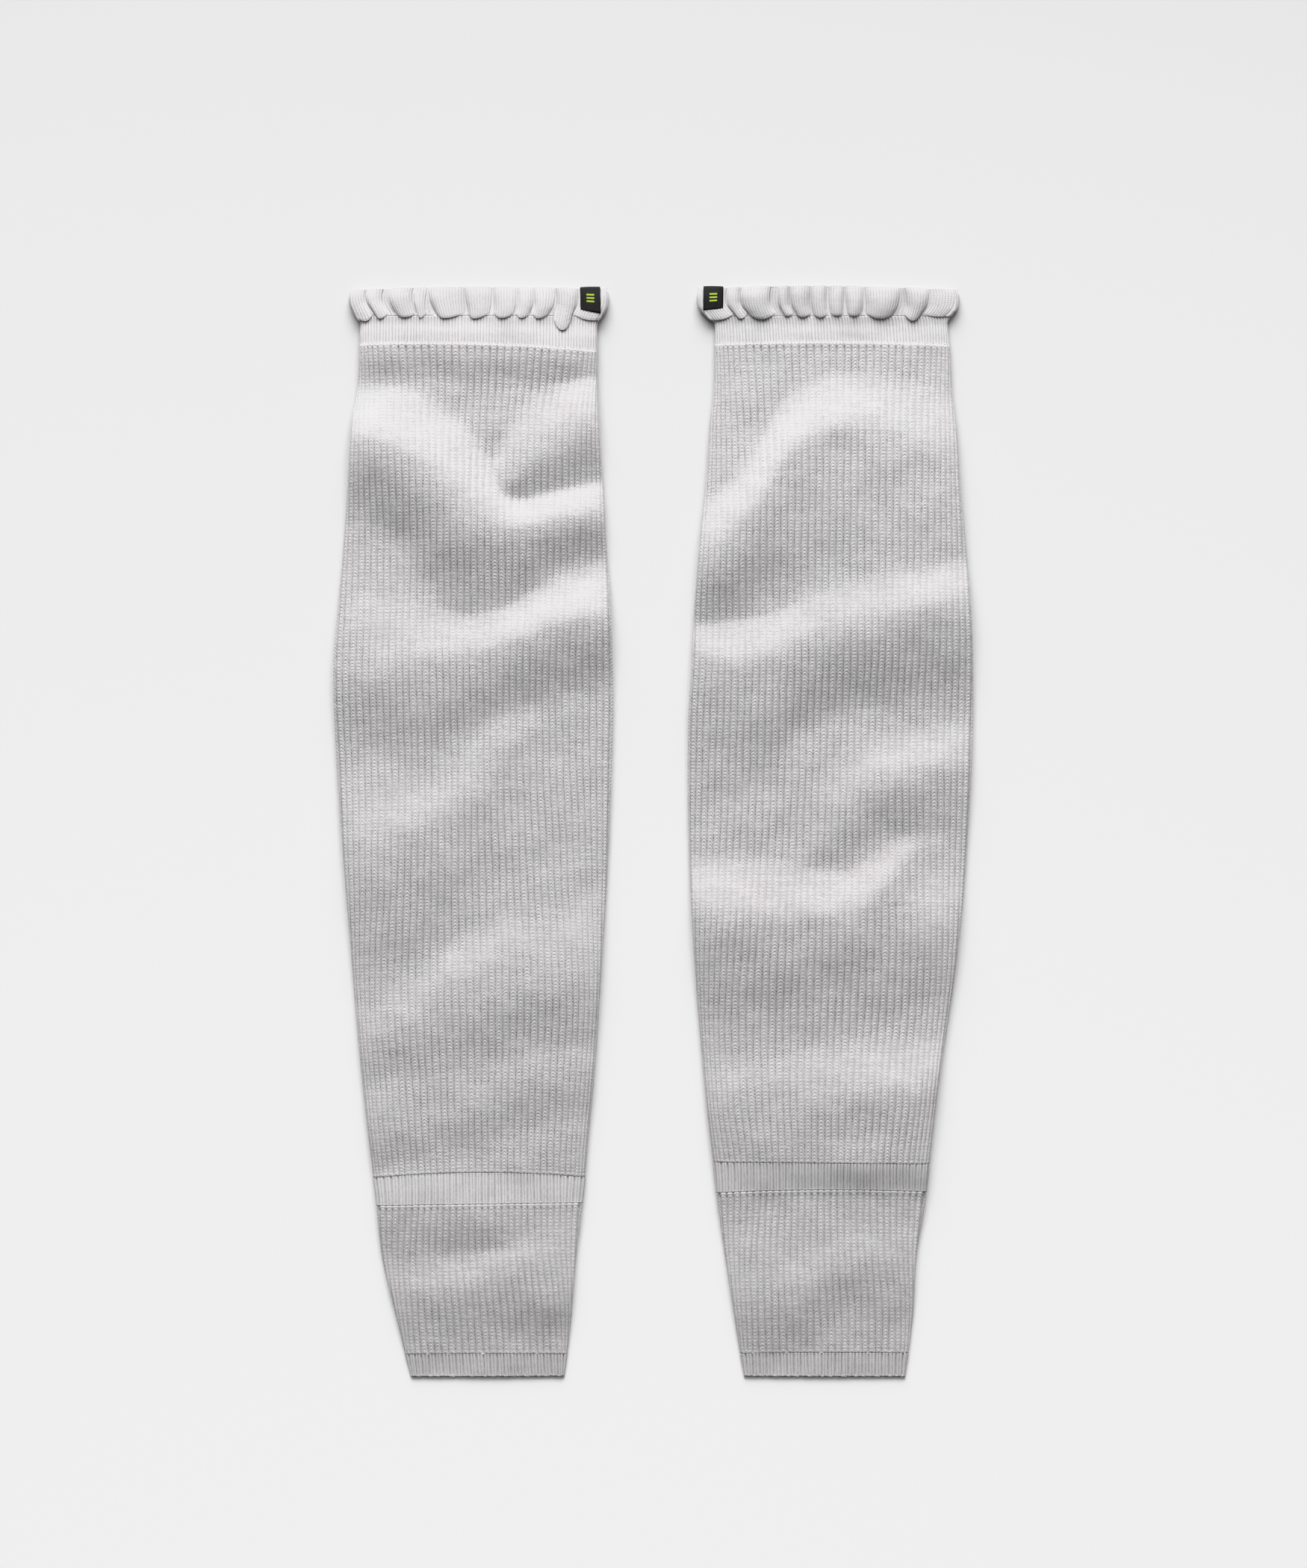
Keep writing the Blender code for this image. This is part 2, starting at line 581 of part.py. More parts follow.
def make_label(side, material):
    """Label laid over the ruffle's outer skin, with one end turned down over the rim."""
    left, right = LABELS[side]
    places = [left + (right - left) * k / (LABEL_COLUMNS - 1) for k in range(LABEL_COLUMNS)]
    grid = []
    for row in RUFFLE_ROWS[:LABEL_ROWS]:
        middle, skin = ruffle_section(side, row, 0.0)
        columns = [((x - middle) / skin.flat, 0.0) for x in places]
        grid.append(ruffle_ring(side, columns, row, 0.0)[0])
    mesh = bmesh.new()
    sheets = []
    for lift in (LABEL_GAP, LABEL_GAP + LABEL_THICKNESS):
        turned = [point + Vector((0.0, lift, lift - LABEL_TURN)) * MM for point in grid[0]]
        rim = [point + Vector((0.0, lift, lift)) * MM for point in grid[0]]
        laid = [[point + Vector((0.0, 0.0, lift)) * MM for point in row] for row in grid[1:]]
        sheets.append([[mesh.verts.new(point) for point in row] for row in [turned, rim] + laid])
    borders = []
    for sheet in sheets:
        for upper, lower in zip(sheet, sheet[1:]):
            for k in range(LABEL_COLUMNS - 1):
                mesh.faces.new((upper[k], upper[k + 1], lower[k + 1], lower[k]))
        down_left = [row[0] for row in sheet]
        up_right = [row[-1] for row in reversed(sheet)]
        borders.append(down_left + sheet[-1][1:-1] + up_right + sheet[0][-2:0:-1])
    inner, outer = borders
    for k in range(len(inner)):
        following = (k + 1) % len(inner)
        mesh.faces.new((inner[k], inner[following], outer[following], outer[k]))
    return make_object(side + "_label", mesh, material)


def make_ruffle(side, material):
    """Gathered ruffle at the top of the tube."""
    columns = ruffle_columns(side)
    outer = [ruffle_ring(side, columns, row, 0.0) for row in RUFFLE_ROWS]
    inner = [ruffle_ring(side, columns, row, RUFFLE_WALL) for row in RUFFLE_INSIDE_ROWS]
    return make_wall(side + "_ruffle", outer, inner, material)


def make_material(name, colour, roughness):
    material = bpy.data.materials.new(name)
    material.use_nodes = True
    shader = material.node_tree.nodes["Principled BSDF"]
    shader.inputs["Base Color"].default_value = (*colour, 1.0)
    shader.inputs["Roughness"].default_value = roughness
    shader.inputs["Metallic"].default_value = 0.0
    return material


def centre_on_floor(pieces):
    """Move the meshes so that the pair's box stands on the origin by the middle of its base."""
    corners = [vertex.co for piece in pieces for vertex in piece.data.vertices]
    low = Vector([min(corner[axis] for corner in corners) for axis in range(3)])
    high = Vector([max(corner[axis] for corner in corners) for axis in range(3)])
    shift = Vector((-(low.x + high.x) / 2.0, -(low.y + high.y) / 2.0, -low.z))
    for piece in pieces:
        for vertex in piece.data.vertices:
            vertex.co += shift


def main():
    for leftover in list(bpy.data.objects):
        bpy.data.objects.remove(leftover)
    yarn = make_material(*YARN)
    label_cloth = make_material(*LABEL_CLOTH)
    pieces = []
    for side in ("left", "right"):
        pieces.append(make_ruffle(side, yarn))
        pieces.append(make_label(side, label_cloth))
        pieces += [make_stretch(side, stretch, yarn) for stretch in STRETCHES]
    centre_on_floor(pieces)


main()
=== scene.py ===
import math

import bpy
import bmesh
import numpy as np
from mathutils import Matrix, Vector


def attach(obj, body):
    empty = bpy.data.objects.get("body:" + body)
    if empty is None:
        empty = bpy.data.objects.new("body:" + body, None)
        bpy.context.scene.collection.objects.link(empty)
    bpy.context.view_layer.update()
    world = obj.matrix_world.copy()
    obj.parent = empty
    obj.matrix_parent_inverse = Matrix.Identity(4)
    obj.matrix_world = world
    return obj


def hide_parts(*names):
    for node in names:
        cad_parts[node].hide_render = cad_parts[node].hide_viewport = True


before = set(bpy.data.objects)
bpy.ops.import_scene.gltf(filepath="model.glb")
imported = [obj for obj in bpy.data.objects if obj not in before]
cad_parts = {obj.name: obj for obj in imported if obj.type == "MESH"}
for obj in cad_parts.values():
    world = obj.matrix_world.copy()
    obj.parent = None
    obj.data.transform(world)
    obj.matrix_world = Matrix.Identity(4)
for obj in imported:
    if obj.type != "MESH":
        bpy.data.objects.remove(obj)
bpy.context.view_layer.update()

# Lengths are in millimetres up to the meshes, which are in metres. "down" runs from the top of the
# ruffle to the cuff's hem, x to the right from the line halfway between the two leg warmers.
mm = 0.001
boxShift = {"x": -0.082, "top": 299.943}  # puts the pair's box over the middle of the frame
layerGap = 0.6       # between the front and back layers
layerOpening = 3.2   # most that a fold parts the layers, a higher one lifts both
random = np.random.default_rng(41)

# the shape that both leg warmers share with the frame

seams = {  # down at the left side, in the middle and at the right side
    "left": {"rim": (2.8, 1.0, 2.3), "gather": (17.6, 17.4, 17.8),
        "band": (33.0, 33.0, 36.8), "ankleTop": (490.7, 487.8, 490.3),
        "ankleBottom": (505.7, 504.9, 504.2), "cuff": (588.0, 587.6, 587.8),
        "hem": (600.0, 600.0, 599.8)},
    "right": {"rim": (2.0, 0.4, 2.8), "gather": (17.8, 17.4, 17.6),
        "band": (33.0, 31.9, 33.5), "ankleTop": (482.1, 482.5, 482.9),
        "ankleBottom": (498.8, 497.2, 498.2), "cuff": (587.4, 587.0, 587.2),
        "hem": (599.8, 600.0, 600.0)},
}

outline = {  # (down, left, right)
    "left": [(0, -165.6, -26.2), (4, -167.2, -24.8), (9, -167.4, -24.6), (13, -166.2, -25.4),
        (17.5, -163.4, -28.6), (21, -161.6, -30.6), (37, -161.6, -30.9), (57, -162.8, -30.7),
        (74, -165.7, -29.7), (107, -168.1, -27.6), (139, -170.2, -25.8), (172, -173.1, -23.6),
        (205, -175.9, -22.3), (238, -175.5, -22.3), (303, -171.4, -24.4), (369, -166.1, -28.1),
        (434, -160.4, -32.6), (467, -156.7, -35.8), (500, -152.7, -38.5), (532, -149.5, -42.2),
        (565, -141.9, -44.9), (600, -133.7, -48.9)],
    "right": [(0, 25, 166.6), (4, 23.8, 167.8), (9, 23.6, 168), (13, 24.8, 167.2), (17.5, 29.6, 163.6),
        (21, 33, 161.8), (37, 33.4, 163), (57, 32.9, 163.9), (74, 30.9, 166.1), (107, 28.5, 168.5),
        (139, 25.2, 171.4), (172, 22.3, 173.9), (205, 20.7, 175.5), (238, 18.8, 175.5), (303, 19, 172.6),
        (369, 21.9, 166.9), (434, 27.2, 157.3), (467, 30.5, 153.4), (500, 34.6, 149.7), (532, 39.1, 144.6),
        (565, 44, 142.7), (600, 49.4, 138.5)],
}

# Each fold is a row of points along its crest: x, down, height, and how far it rises to the crest
# on the ruffle's side and falls from it on the cuff's side.
folds = {
    "left": {
        "underBand": [(-165, 36, 2.2, 46, 20), (-96, 36, 2.6, 46, 20), (-30, 39, 2.6, 46, 20)],
        "valleyArm": [(-172, 86, 8.4, 34, 48), (-150, 90, 9.2, 38, 52), (-135, 97, 9.4, 44, 58),
            (-120, 111, 9.2, 54, 64), (-105, 127, 8.6, 60, 58), (-90, 134.5, 7.2, 44, 48),
            (-75, 136, 6, 25, 40), (-55, 132, 5.2, 24, 27), (-26, 127, 5, 24, 25)],
        "upperArm": [(-90, 115, 1, 18, 14), (-80, 106.5, 3, 34, 20), (-65, 94, 3.8, 38, 30),
            (-55, 87, 4.4, 36, 35), (-44, 81, 5.2, 36, 37), (-26, 75, 6.2, 38, 39)],
        "crossing": [(-175, 212, 4.2, 66, 46), (-145, 214, 4.7, 57, 50), (-120, 213, 4.5, 40, 50),
            (-95, 205, 4.3, 29, 40), (-75, 198, 5, 27, 40), (-55, 190, 6.4, 32, 44),
            (-23, 185, 7.4, 36, 40)],
        "shortSlant": [(-172, 316, 4, 58, 72), (-145, 315, 4, 52, 74), (-115, 301, 3.1, 42, 62),
            (-95, 280, 2.2, 42, 60), (-78, 257, 1.2, 26, 50)],
        "longSlant": [(-160, 417, 1.2, 26, 30), (-135, 409, 2.1, 32, 40), (-115, 397, 2.8, 36, 48),
            (-95, 388, 3.4, 40, 54), (-65, 383, 3.8, 54, 54), (-25, 382, 4.2, 58, 54)],
        "ankleSlant": [(-155, 466, 1.8, 34, 26), (-125, 457, 1.3, 34, 26), (-95, 446, 1.1, 32, 28),
            (-65, 434, 1.6, 26, 30), (-32, 431, 2, 26, 32)],
        "belowAnkle": [(-150, 512, 1.6, 34, 24), (-115, 509, 1.6, 34, 24), (-85, 515, 1.2, 36, 22),
            (-66, 520, 0.6, 30, 20)],
        "aboveCuff": [(-148, 558, 1.5, 24, 28), (-95, 552, 1.9, 26, 30), (-70, 552, 2.8, 44, 28),
            (-42, 554, 3.2, 50, 28)],
    },
    "right": {
        "topSwell": [(28, 140, 2.6, 110, 66), (75, 132, 4, 70, 78), (100, 130, 4.8, 66, 84),
            (125, 130, 4.8, 64, 88), (165, 134, 4.5, 64, 84)],
        "arc": [(20, 152, 7.6, 44, 48), (42, 142, 8.2, 46, 54), (58, 124, 8.3, 47, 66),
            (73, 101, 7.8, 44, 84), (85, 90, 7.2, 41, 92), (100, 84, 6.6, 39, 94), (125, 87, 5.8, 42, 82),
            (150, 96, 5.1, 46, 68), (174, 105, 4.6, 50, 58)],
        "crossing": [(20, 206, 5, 30, 76), (45, 211, 5.6, 37, 78), (65, 209, 6, 41, 66),
            (80, 201, 6.4, 44, 50), (100, 194, 7.2, 50, 46), (125, 187, 8, 50, 54),
            (145, 182, 8.2, 45, 56), (175, 178, 8.2, 44, 58)],
        "shortSlant": [(88, 306, 0.8, 30, 20), (105, 290, 2.4, 42, 28), (120, 278, 3.4, 36, 30),
            (145, 272, 3.6, 34, 36), (175, 268, 3.2, 33, 44)],
        "kneeFold": [(20, 347, 6.2, 36, 66), (55, 352, 5.8, 42, 64), (85, 351, 5.2, 36, 64),
            (108, 348, 5, 32, 58), (124, 338, 4, 32, 52), (138, 322, 2.2, 24, 40),
            (150, 310, 0.8, 18, 30)],
        "kneeFlare": [(98, 356, 2, 40, 56), (125, 352, 3.8, 44, 56), (170, 356, 3.6, 46, 52)],
        "shin": [(28, 456, 2.4, 40, 54), (65, 455, 2.6, 38, 54), (95, 448, 3.3, 36, 56),
            (125, 448, 4.5, 37, 58), (158, 444, 4.7, 38, 58)],
        "ankle": [(40, 478, 1.4, 30, 32), (80, 477, 2.6, 32, 26), (110, 481, 3.4, 36, 22),
            (152, 482, 3.8, 38, 24)],
        "aboveCuff": [(38, 560, 2.3, 44, 30), (80, 556, 2.3, 44, 32), (105, 542, 1.7, 36, 30),
            (145, 544, 1.8, 34, 32)],
    },
}
foldFade = {"atSide": 0.72, "sideReach": 14.0, "endReach": 14.0}

# small unevenness of the laid cloth: lengths across and along, phase, height
ripples = [(61, 47, 0.4, 0.13), (-47, 58, 1.9, 0.12), (93, 29, 3.1, 0.11), (-31, 21, 4.4, 0.05),
           (17, 24, 0.9, 0.04)]
rippleFade = 16.0  # distance from a side over which they grow

ribPitches = {  # (down, distance between the chunky ribs)
    "left": [(33, 4.15), (70, 3.9), (120, 3.78), (250, 3.62), (330, 3.75), (390, 3.95),
             (450, 3.72), (500, 3.52), (560, 3.74), (600, 3.73)],
    "right": [(33, 4.1), (70, 3.95), (120, 3.85), (250, 3.8), (330, 3.92), (390, 4.05),
              (450, 3.85), (490, 3.55), (560, 3.76), (600, 3.73)],
}


def ease(share):
    share = np.clip(share, 0.0, 1.0)
    return share * share * (3.0 - 2.0 * share)


def through(places, values, at):  # smooth curve through the values at the places
    places = np.asarray(places, float)
    values = np.asarray(values, float)
    at = np.asarray(at, float)
    before = np.maximum(np.arange(len(places)) - 1, 0)
    after = np.minimum(np.arange(len(places)) + 1, len(places) - 1)
    slopes = (values[after] - values[before]) / (places[after] - places[before])
    i = np.clip(np.searchsorted(places, at, side="right") - 1, 0, len(places) - 2)
    span = places[i + 1] - places[i]
    share = (at - places[i]) / span
    t = np.clip(share, 0.0, 1.0)
    rest = 1.0 - t
    inside = (rest * rest * ((1.0 + 2.0 * t) * values[i] + t * slopes[i] * span)
              + t * t * ((3.0 - 2.0 * t) * values[i + 1] - rest * slopes[i + 1] * span))
    beyond = np.where(share < 0.0, share * slopes[i] * span, 0.0)
    return inside + np.where(share > 1.0, (share - 1.0) * slopes[i + 1] * span, beyond)


def middleAndHalf(side, down):
    places, lefts, rights = zip(*outline[side])
    left = through(places, lefts, down)
    right = through(places, rights, down)
    return (left + right) / 2.0, (right - left) / 2.0


def seamDown(seam, across):
    left, middle, right = seam
    tilt = (right - left) / 2.0
    bow = (right + left) / 2.0 - middle
    return middle + tilt * across + bow * across * across


def between(ends, way):
    return ends[0] * (1.0 - way) + ends[1] * way


def seamToSeam(side, kind, across, way):  # down, part of the way from a piece's top seam to its bottom
    return between([seamDown(seams[side][kind[end]], across) for end in ("top", "bottom")], way)


def fromStart(steps):
    return np.concatenate([[0.0], np.cumsum(steps)])


def foldHeight(side, x, down):  # the largest fold wins smoothly
    middle, half = middleAndHalf(side, down)
    total = np.zeros(np.broadcast(x, down).shape)
    for points in folds[side].values():
        places, crests, heights, rises, falls = zip(*points)
        onFold = np.clip(x, places[0], places[-1])
        off = down - through(places, crests, onFold)
        reach = np.where(off < 0.0, through(places, rises, onFold), through(places, falls, onFold))
        lift = through(places, heights, onFold) * (1.0 + np.cos(math.pi * np.clip(off / reach, -1.0, 1.0)))
        total += (0.5 * lift * (1.0 - ease(np.abs(x - onFold) / foldFade["endReach"]))) ** 3
    fromSide = half - np.abs(x - middle)
    full = foldFade["atSide"] + (1.0 - foldFade["atSide"]) * ease(fromSide / foldFade["sideReach"])
    return full * np.cbrt(total)


def rippleHeight(side, x, down):
    middle, half = middleAndHalf(side, down)
    total = np.zeros(np.broadcast(x, down).shape)
    for across, along, phase, height in ripples:
        total += height * np.sin(2.0 * math.pi * (x / across + down / along) + phase)
    return total * ease((half - np.abs(x - middle)) / rippleFade)


def placed(side, x, down, z, lean):  # lifts the cross-section with the folds, into metres
    lift = foldHeight(side, x, down)
    front = (1.0 + np.cos(lean)) / 2.0
    high = z + front * lift + (1.0 - front) * np.maximum(lift - layerOpening, 0.0)
    high = high + front ** 4 * rippleHeight(side, x, down)
    points = np.stack([x + boxShift["x"], boxShift["top"] - down + 0.0 * x, high], axis=-1)
    return points * mm


def onTube(run, flat, radius):  # run: distance from the middle of the front, round to the back
    sign = np.where(run < 0.0, -1.0, 1.0)
    beyond = np.abs(run) - flat
    lean = np.clip(beyond / radius, 0.0, math.pi)
    under = np.clip(beyond - math.pi * radius, 0.0, None)
    x = sign * (np.minimum(np.abs(run), flat) + radius * np.sin(lean) - under)
    return x, radius * (1.0 + np.cos(lean)), sign * lean


def roundOrder(x, lean, flat):  # place in the round, from -3 in the middle of the back to 3
    sign = np.where(lean < 0.0, -1.0, 1.0)
    onSide = sign * (1.0 + np.abs(lean) / math.pi)
    onBack = sign * (3.0 - np.abs(x) / flat)
    order = np.where(np.abs(lean) < 1e-9, x / flat, onSide)
    return np.where(np.abs(lean) > math.pi - 1e-9, onBack, order)


# mesh tools

def gridFaces(first, rows, columns):
    k = (first + np.arange(rows - 1)[:, None] * columns + np.arange(columns - 1)[None, :]).ravel()
    return np.stack([k, k + 1, k + 1 + columns, k + columns], axis=1).tolist()


def ringFaces(first, rows, columns):
    k = np.arange(columns)[None, :]
    start = first + np.arange(rows - 1)[:, None] * columns
    here, beside = start + k, start + (k + 1) % columns
    return np.stack([here, beside, beside + columns, here + columns], axis=-1).reshape(-1, 4).tolist()


def bridgeFaces(outer, inner, outerOrders, innerOrders):  # closes one mouth of a shell
    faces = []
    i = j = 0
    outerOrders = list(outerOrders) + [3.0]
    innerOrders = list(innerOrders) + [3.0]
    while i < len(outer) or j < len(inner):
        a, b = outer[i % len(outer)], inner[j % len(inner)]
        if i < len(outer) and (j == len(inner) or outerOrders[i + 1] <= innerOrders[j + 1]):
            i += 1
            faces.append((a, outer[i % len(outer)], b))
        else:
            j += 1
            faces.append((a, inner[j % len(inner)], b))
    return faces


def makePiece(name, points, faces, material, marks=None, mouths=0):
    # the last faces, as many as "mouths" says, stay flat for a crisp edge round the opening
    data = bpy.data.meshes.new(name)
    data.from_pydata([tuple(point) for point in points], [], faces)
    mesh = bmesh.new()
    mesh.from_mesh(data)
    bmesh.ops.recalc_face_normals(mesh, faces=mesh.faces)
    mesh.to_mesh(data)
    mesh.free()
    for mark, values in (marks or {}).items():
        data.attributes.new(mark, "FLOAT", "POINT").data.foreach_set("value", values)
    smooth = np.arange(len(faces)) < len(faces) - mouths
    data.polygons.foreach_set("use_smooth", smooth)
    data.materials.append(material)
    piece = bpy.data.objects.new(name, data)
    bpy.context.scene.collection.objects.link(piece)
    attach(piece, "root")
    data.calc_loop_triangles()
    print(name, "made with", len(data.loop_triangles), "triangles")
    return piece


# yarn

yarn = {
    "colour": (0.573, 0.56, 0.568),
    "pinkish": (0.579, 0.56, 0.57),
    "greenish": (0.568, 0.563, 0.562),
    "surface": {"Roughness": 0.9, "Sheen Weight": 0.2, "Sheen Roughness": 0.5,
                "Specular IOR Level": 0.2},
    "smoothing": 0.4,     # how much calmer the stitches are on a fold's lamp-facing flank: less painted shade, less bump
    "chanceTone": 0.07,   # difference in tone from stitch to stitch
    "streak": 330.0,      # sizes of the noises
    "patch": 24.0,
    "fibre": 2600.0,
}

plainStitch = {  # "Sharp" narrows a groove or crease, "Shade" is how much shade is painted into its colour, "Bump" gives its depth
    "grooveSharp": 3.5, "between": 0.45, "creaseSharp": 3.5, "eye": 0.6, "eyeDark": 0.0,
    "valleyDark": 0.0, "chance": 0.5, "slant": -0.25, "fibreBump": 0.35, "grooveBump": 0.17,
}


class Shade:  # short calls for a material's nodes
    def __init__(self, name, constants):
        self.material = bpy.data.materials.new(name)
        self.material.use_nodes = True
        self.tree = self.material.node_tree
        self.surface = self.tree.nodes["Principled BSDF"]
        for socket, value in constants.items():
            self.surface.inputs[socket].default_value = value

    def feed(self, socket, value):
        self.tree.links.new(value, self.surface.inputs[socket])

    def add(self, kind, inputs=None, **settings):
        node = self.tree.nodes.new(kind)
        for key, value in settings.items():
            setattr(node, key, value)
        for socket, value in (inputs or {}).items():
            if isinstance(value, bpy.types.NodeSocket):
                self.tree.links.new(value, node.inputs[socket])
            else:
                node.inputs[socket].default_value = value
        return node

    def sum(self, operation, *values):
        return self.add("ShaderNodeMath", dict(enumerate(values)), operation=operation).outputs[0]

    def mark(self, name):
        return self.add("ShaderNodeAttribute", attribute_name=name).outputs["Fac"]

    def noise(self, scale, stretch=(1.0, 1.0, 1.0)):
        place = self.add("ShaderNodeTexCoord").outputs["Object"]
        place = self.add("ShaderNodeMapping", {"Vector": place, "Scale": stretch}).outputs[0]
        inputs = {"Vector": place, "Scale": scale, "Detail": 2.0}
        return self.add("ShaderNodeTexNoise", inputs).outputs["Fac"]

    def ramp(self, value, low, high, start, end):  # number from low to high as the value grows
        inputs = {"Value": value, "From Min": start, "From Max": end, "To Min": low, "To Max": high}
        return self.add("ShaderNodeMapRange", inputs, interpolation_type="SMOOTHSTEP").outputs[0]

    def mix(self, share, first, second, blend="MIX"):
        inputs = {0: share, 6: first, 7: second}
        return self.add("ShaderNodeMix", inputs, data_type="RGBA", blend_type=blend).outputs[2]


def knitMaterial(name, **changes):
    look = {**plainStitch, **changes}
    shade = Shade(name, yarn["surface"])
    # across a rib from its middle, 0, to its groove, 1; along a course from its crest to its crease
    rib = shade.sum("ADD", shade.mark("rib"), 0.5)
    across = shade.sum("SUBTRACT", shade.sum("FRACT", rib), 0.5)
    across = shade.sum("MULTIPLY", shade.sum("ABSOLUTE", across), 2.0)
    course = shade.sum("MULTIPLY_ADD", across, look["slant"], shade.mark("course"))
    along = shade.sum("SUBTRACT", shade.sum("MULTIPLY", shade.sum("FRACT", course), 2.0), 1.0)
    along = shade.sum("SUBTRACT", 1.0, shade.sum("ABSOLUTE", along))
    stitch = shade.add("ShaderNodeCombineXYZ", {0: shade.sum("FLOOR", rib),
                                                1: shade.sum("FLOOR", shade.sum("ADD", course, 0.5))})
    chance = shade.add("ShaderNodeTexWhiteNoise", {0: stitch.outputs[0]}).outputs["Value"]
    groove = shade.sum("POWER", across, look["grooveSharp"])
    crease = shade.sum("POWER", along, look["creaseSharp"])
    inside = shade.sum("MULTIPLY", crease, shade.ramp(across, 1.0, 0.0, 0.0, look["eye"]))
    valley = shade.ramp(across, 1.0, 0.0, 0.0, 0.3)
    # painted shade: the colour is darkened in the grooves between ribs, the creases between courses, each
    # stitch's eye and a twin rib's middle valley
    pit = shade.sum("MULTIPLY", groove, shade.ramp(along, look["between"], 1.0, 0.2, 0.9))
    dark = shade.sum("MULTIPLY_ADD", inside, look["eyeDark"],
                     shade.sum("MULTIPLY", crease, look["creaseDark"]))
    dark = shade.sum("MULTIPLY_ADD", pit, look["grooveDark"], dark)
    dark = shade.sum("MULTIPLY", dark, shade.ramp(chance, 1.0 - look["chance"], 1.0 + look["chance"],
                                                  0.0, 1.0))
    dark = shade.sum("MULTIPLY_ADD", valley, look["valleyDark"], dark)
    # painted light: on a fold's lamp-facing flank the painted shade and the bump are lessened, so the
    # flank is lighter
    relaxed = shade.sum("MULTIPLY_ADD", shade.mark("pulled"), -yarn["smoothing"], 1.0)
    light = shade.sum("SUBTRACT", 1.0, shade.sum("MULTIPLY", dark, relaxed))
    streak = shade.noise(yarn["streak"], (0.16, 1.0, 0.16))
    patch = shade.noise(yarn["patch"], (1.0, 1.0, 0.2))
    tint = shade.mix(shade.ramp(patch, 0.0, 1.0, 0.34, 0.66), (*yarn["greenish"], 1.0),
                     (*yarn["pinkish"], 1.0))
    tint = shade.mix(shade.ramp(streak, 0.0, 0.8, 0.35, 0.65), tint, (*yarn["colour"], 1.0))
    fibres = shade.noise(yarn["fibre"])
    uneven = yarn["chanceTone"] * look["chance"]
    for value, *tones in ((streak, 0.965, 1.03, 0.3, 0.7), (chance, 1.0 - uneven, 1.0 + uneven, 0.0, 1.0),
                          (fibres, 0.9, 1.08, 0.25, 0.75)):
        light = shade.sum("MULTIPLY", light, shade.ramp(value, *tones))
    grey = shade.add("ShaderNodeCombineColor", {0: light, 1: light, 2: light}).outputs[0]
    shade.feed("Base Color", shade.mix(1.0, tint, grey, "MULTIPLY"))
    height = shade.sum("MULTIPLY", fibres, look["fibreBump"])
    wave = shade.sum("COSINE", shade.sum("MULTIPLY", course, 2.0 * math.pi))
    stitches = shade.sum("MULTIPLY_ADD", groove, -look["grooveBump"],
                         shade.sum("MULTIPLY", wave, look["courseBump"]))
    height = shade.sum("MULTIPLY_ADD", stitches, relaxed, height)
    bump = shade.add("ShaderNodeBump", {"Height": height, "Strength": 1.0, "Distance": 0.001})
    shade.feed("Normal", bump.outputs[0])
    return shade.material


chunkyYarn = knitMaterial("chunkyPaleYarn", grooveDark=0.5, creaseDark=0.2, eyeDark=0.4,
                          courseBump=0.055)
tightYarn = knitMaterial("tightPaleYarn", grooveDark=0.42, creaseDark=0.17, eyeDark=0.22,
                         courseBump=0.04)
twinYarn = knitMaterial("twinRibPaleYarn", grooveSharp=4.0, grooveDark=0.37, between=0.75,
                        creaseSharp=3.0, creaseDark=0.05, eye=0.5, valleyDark=0.3, slant=-0.6,
                        courseBump=0.012, grooveBump=0.15)
fineYarn = knitMaterial("finePaleYarn", grooveSharp=2.0, grooveDark=0.37, between=0.85,
                        creaseSharp=3.0, creaseDark=0.03, eye=0.5, chance=0.3, slant=-0.5,
                        fibreBump=0.3, courseBump=0.02, grooveBump=0.12)
ruffleYarn = knitMaterial("ruffledPaleYarn", grooveSharp=2.0, grooveDark=0.33, between=0.6,
                          creaseSharp=2.5, creaseDark=0.06, eye=0.5, slant=-0.6, fibreBump=0.3,
                          courseBump=0.03, grooveBump=0.1)


# the knitted stretches from the ruffle's seam to the hem

ribDepth = {"chunky": 1.25, "twin": 0.85, "fine": 0.45}
courseDepth = {"chunky": 0.2, "twin": 0.02, "fine": 0.02}
twinValley = {"depth": 0.3, "width": 0.2}  # between the two strands of a rib


def courseWave(stitch, along):  # up at a course's crest, down at its crease
    return courseDepth[stitch] * (1.0 - 2.0 * along ** 2)


def chunkyProfile(across, along):  # height over the rib's base, from its crest and a course's crest
    rounding = np.abs(across) ** 2.2
    return -ribDepth["chunky"] * rounding + courseWave("chunky", along) * (1.0 - 0.3 * rounding)


def twinProfile(across, along):  # two strands side by side between deep grooves
    off = np.abs(across)
    valley = twinValley["depth"] * np.exp(-(off / twinValley["width"]) ** 2)
    return -ribDepth["twin"] * off ** 5 - valley + courseWave("twin", along)


def fineProfile(across, along):
    return -ribDepth["fine"] * across ** 2 + courseWave("fine", along)


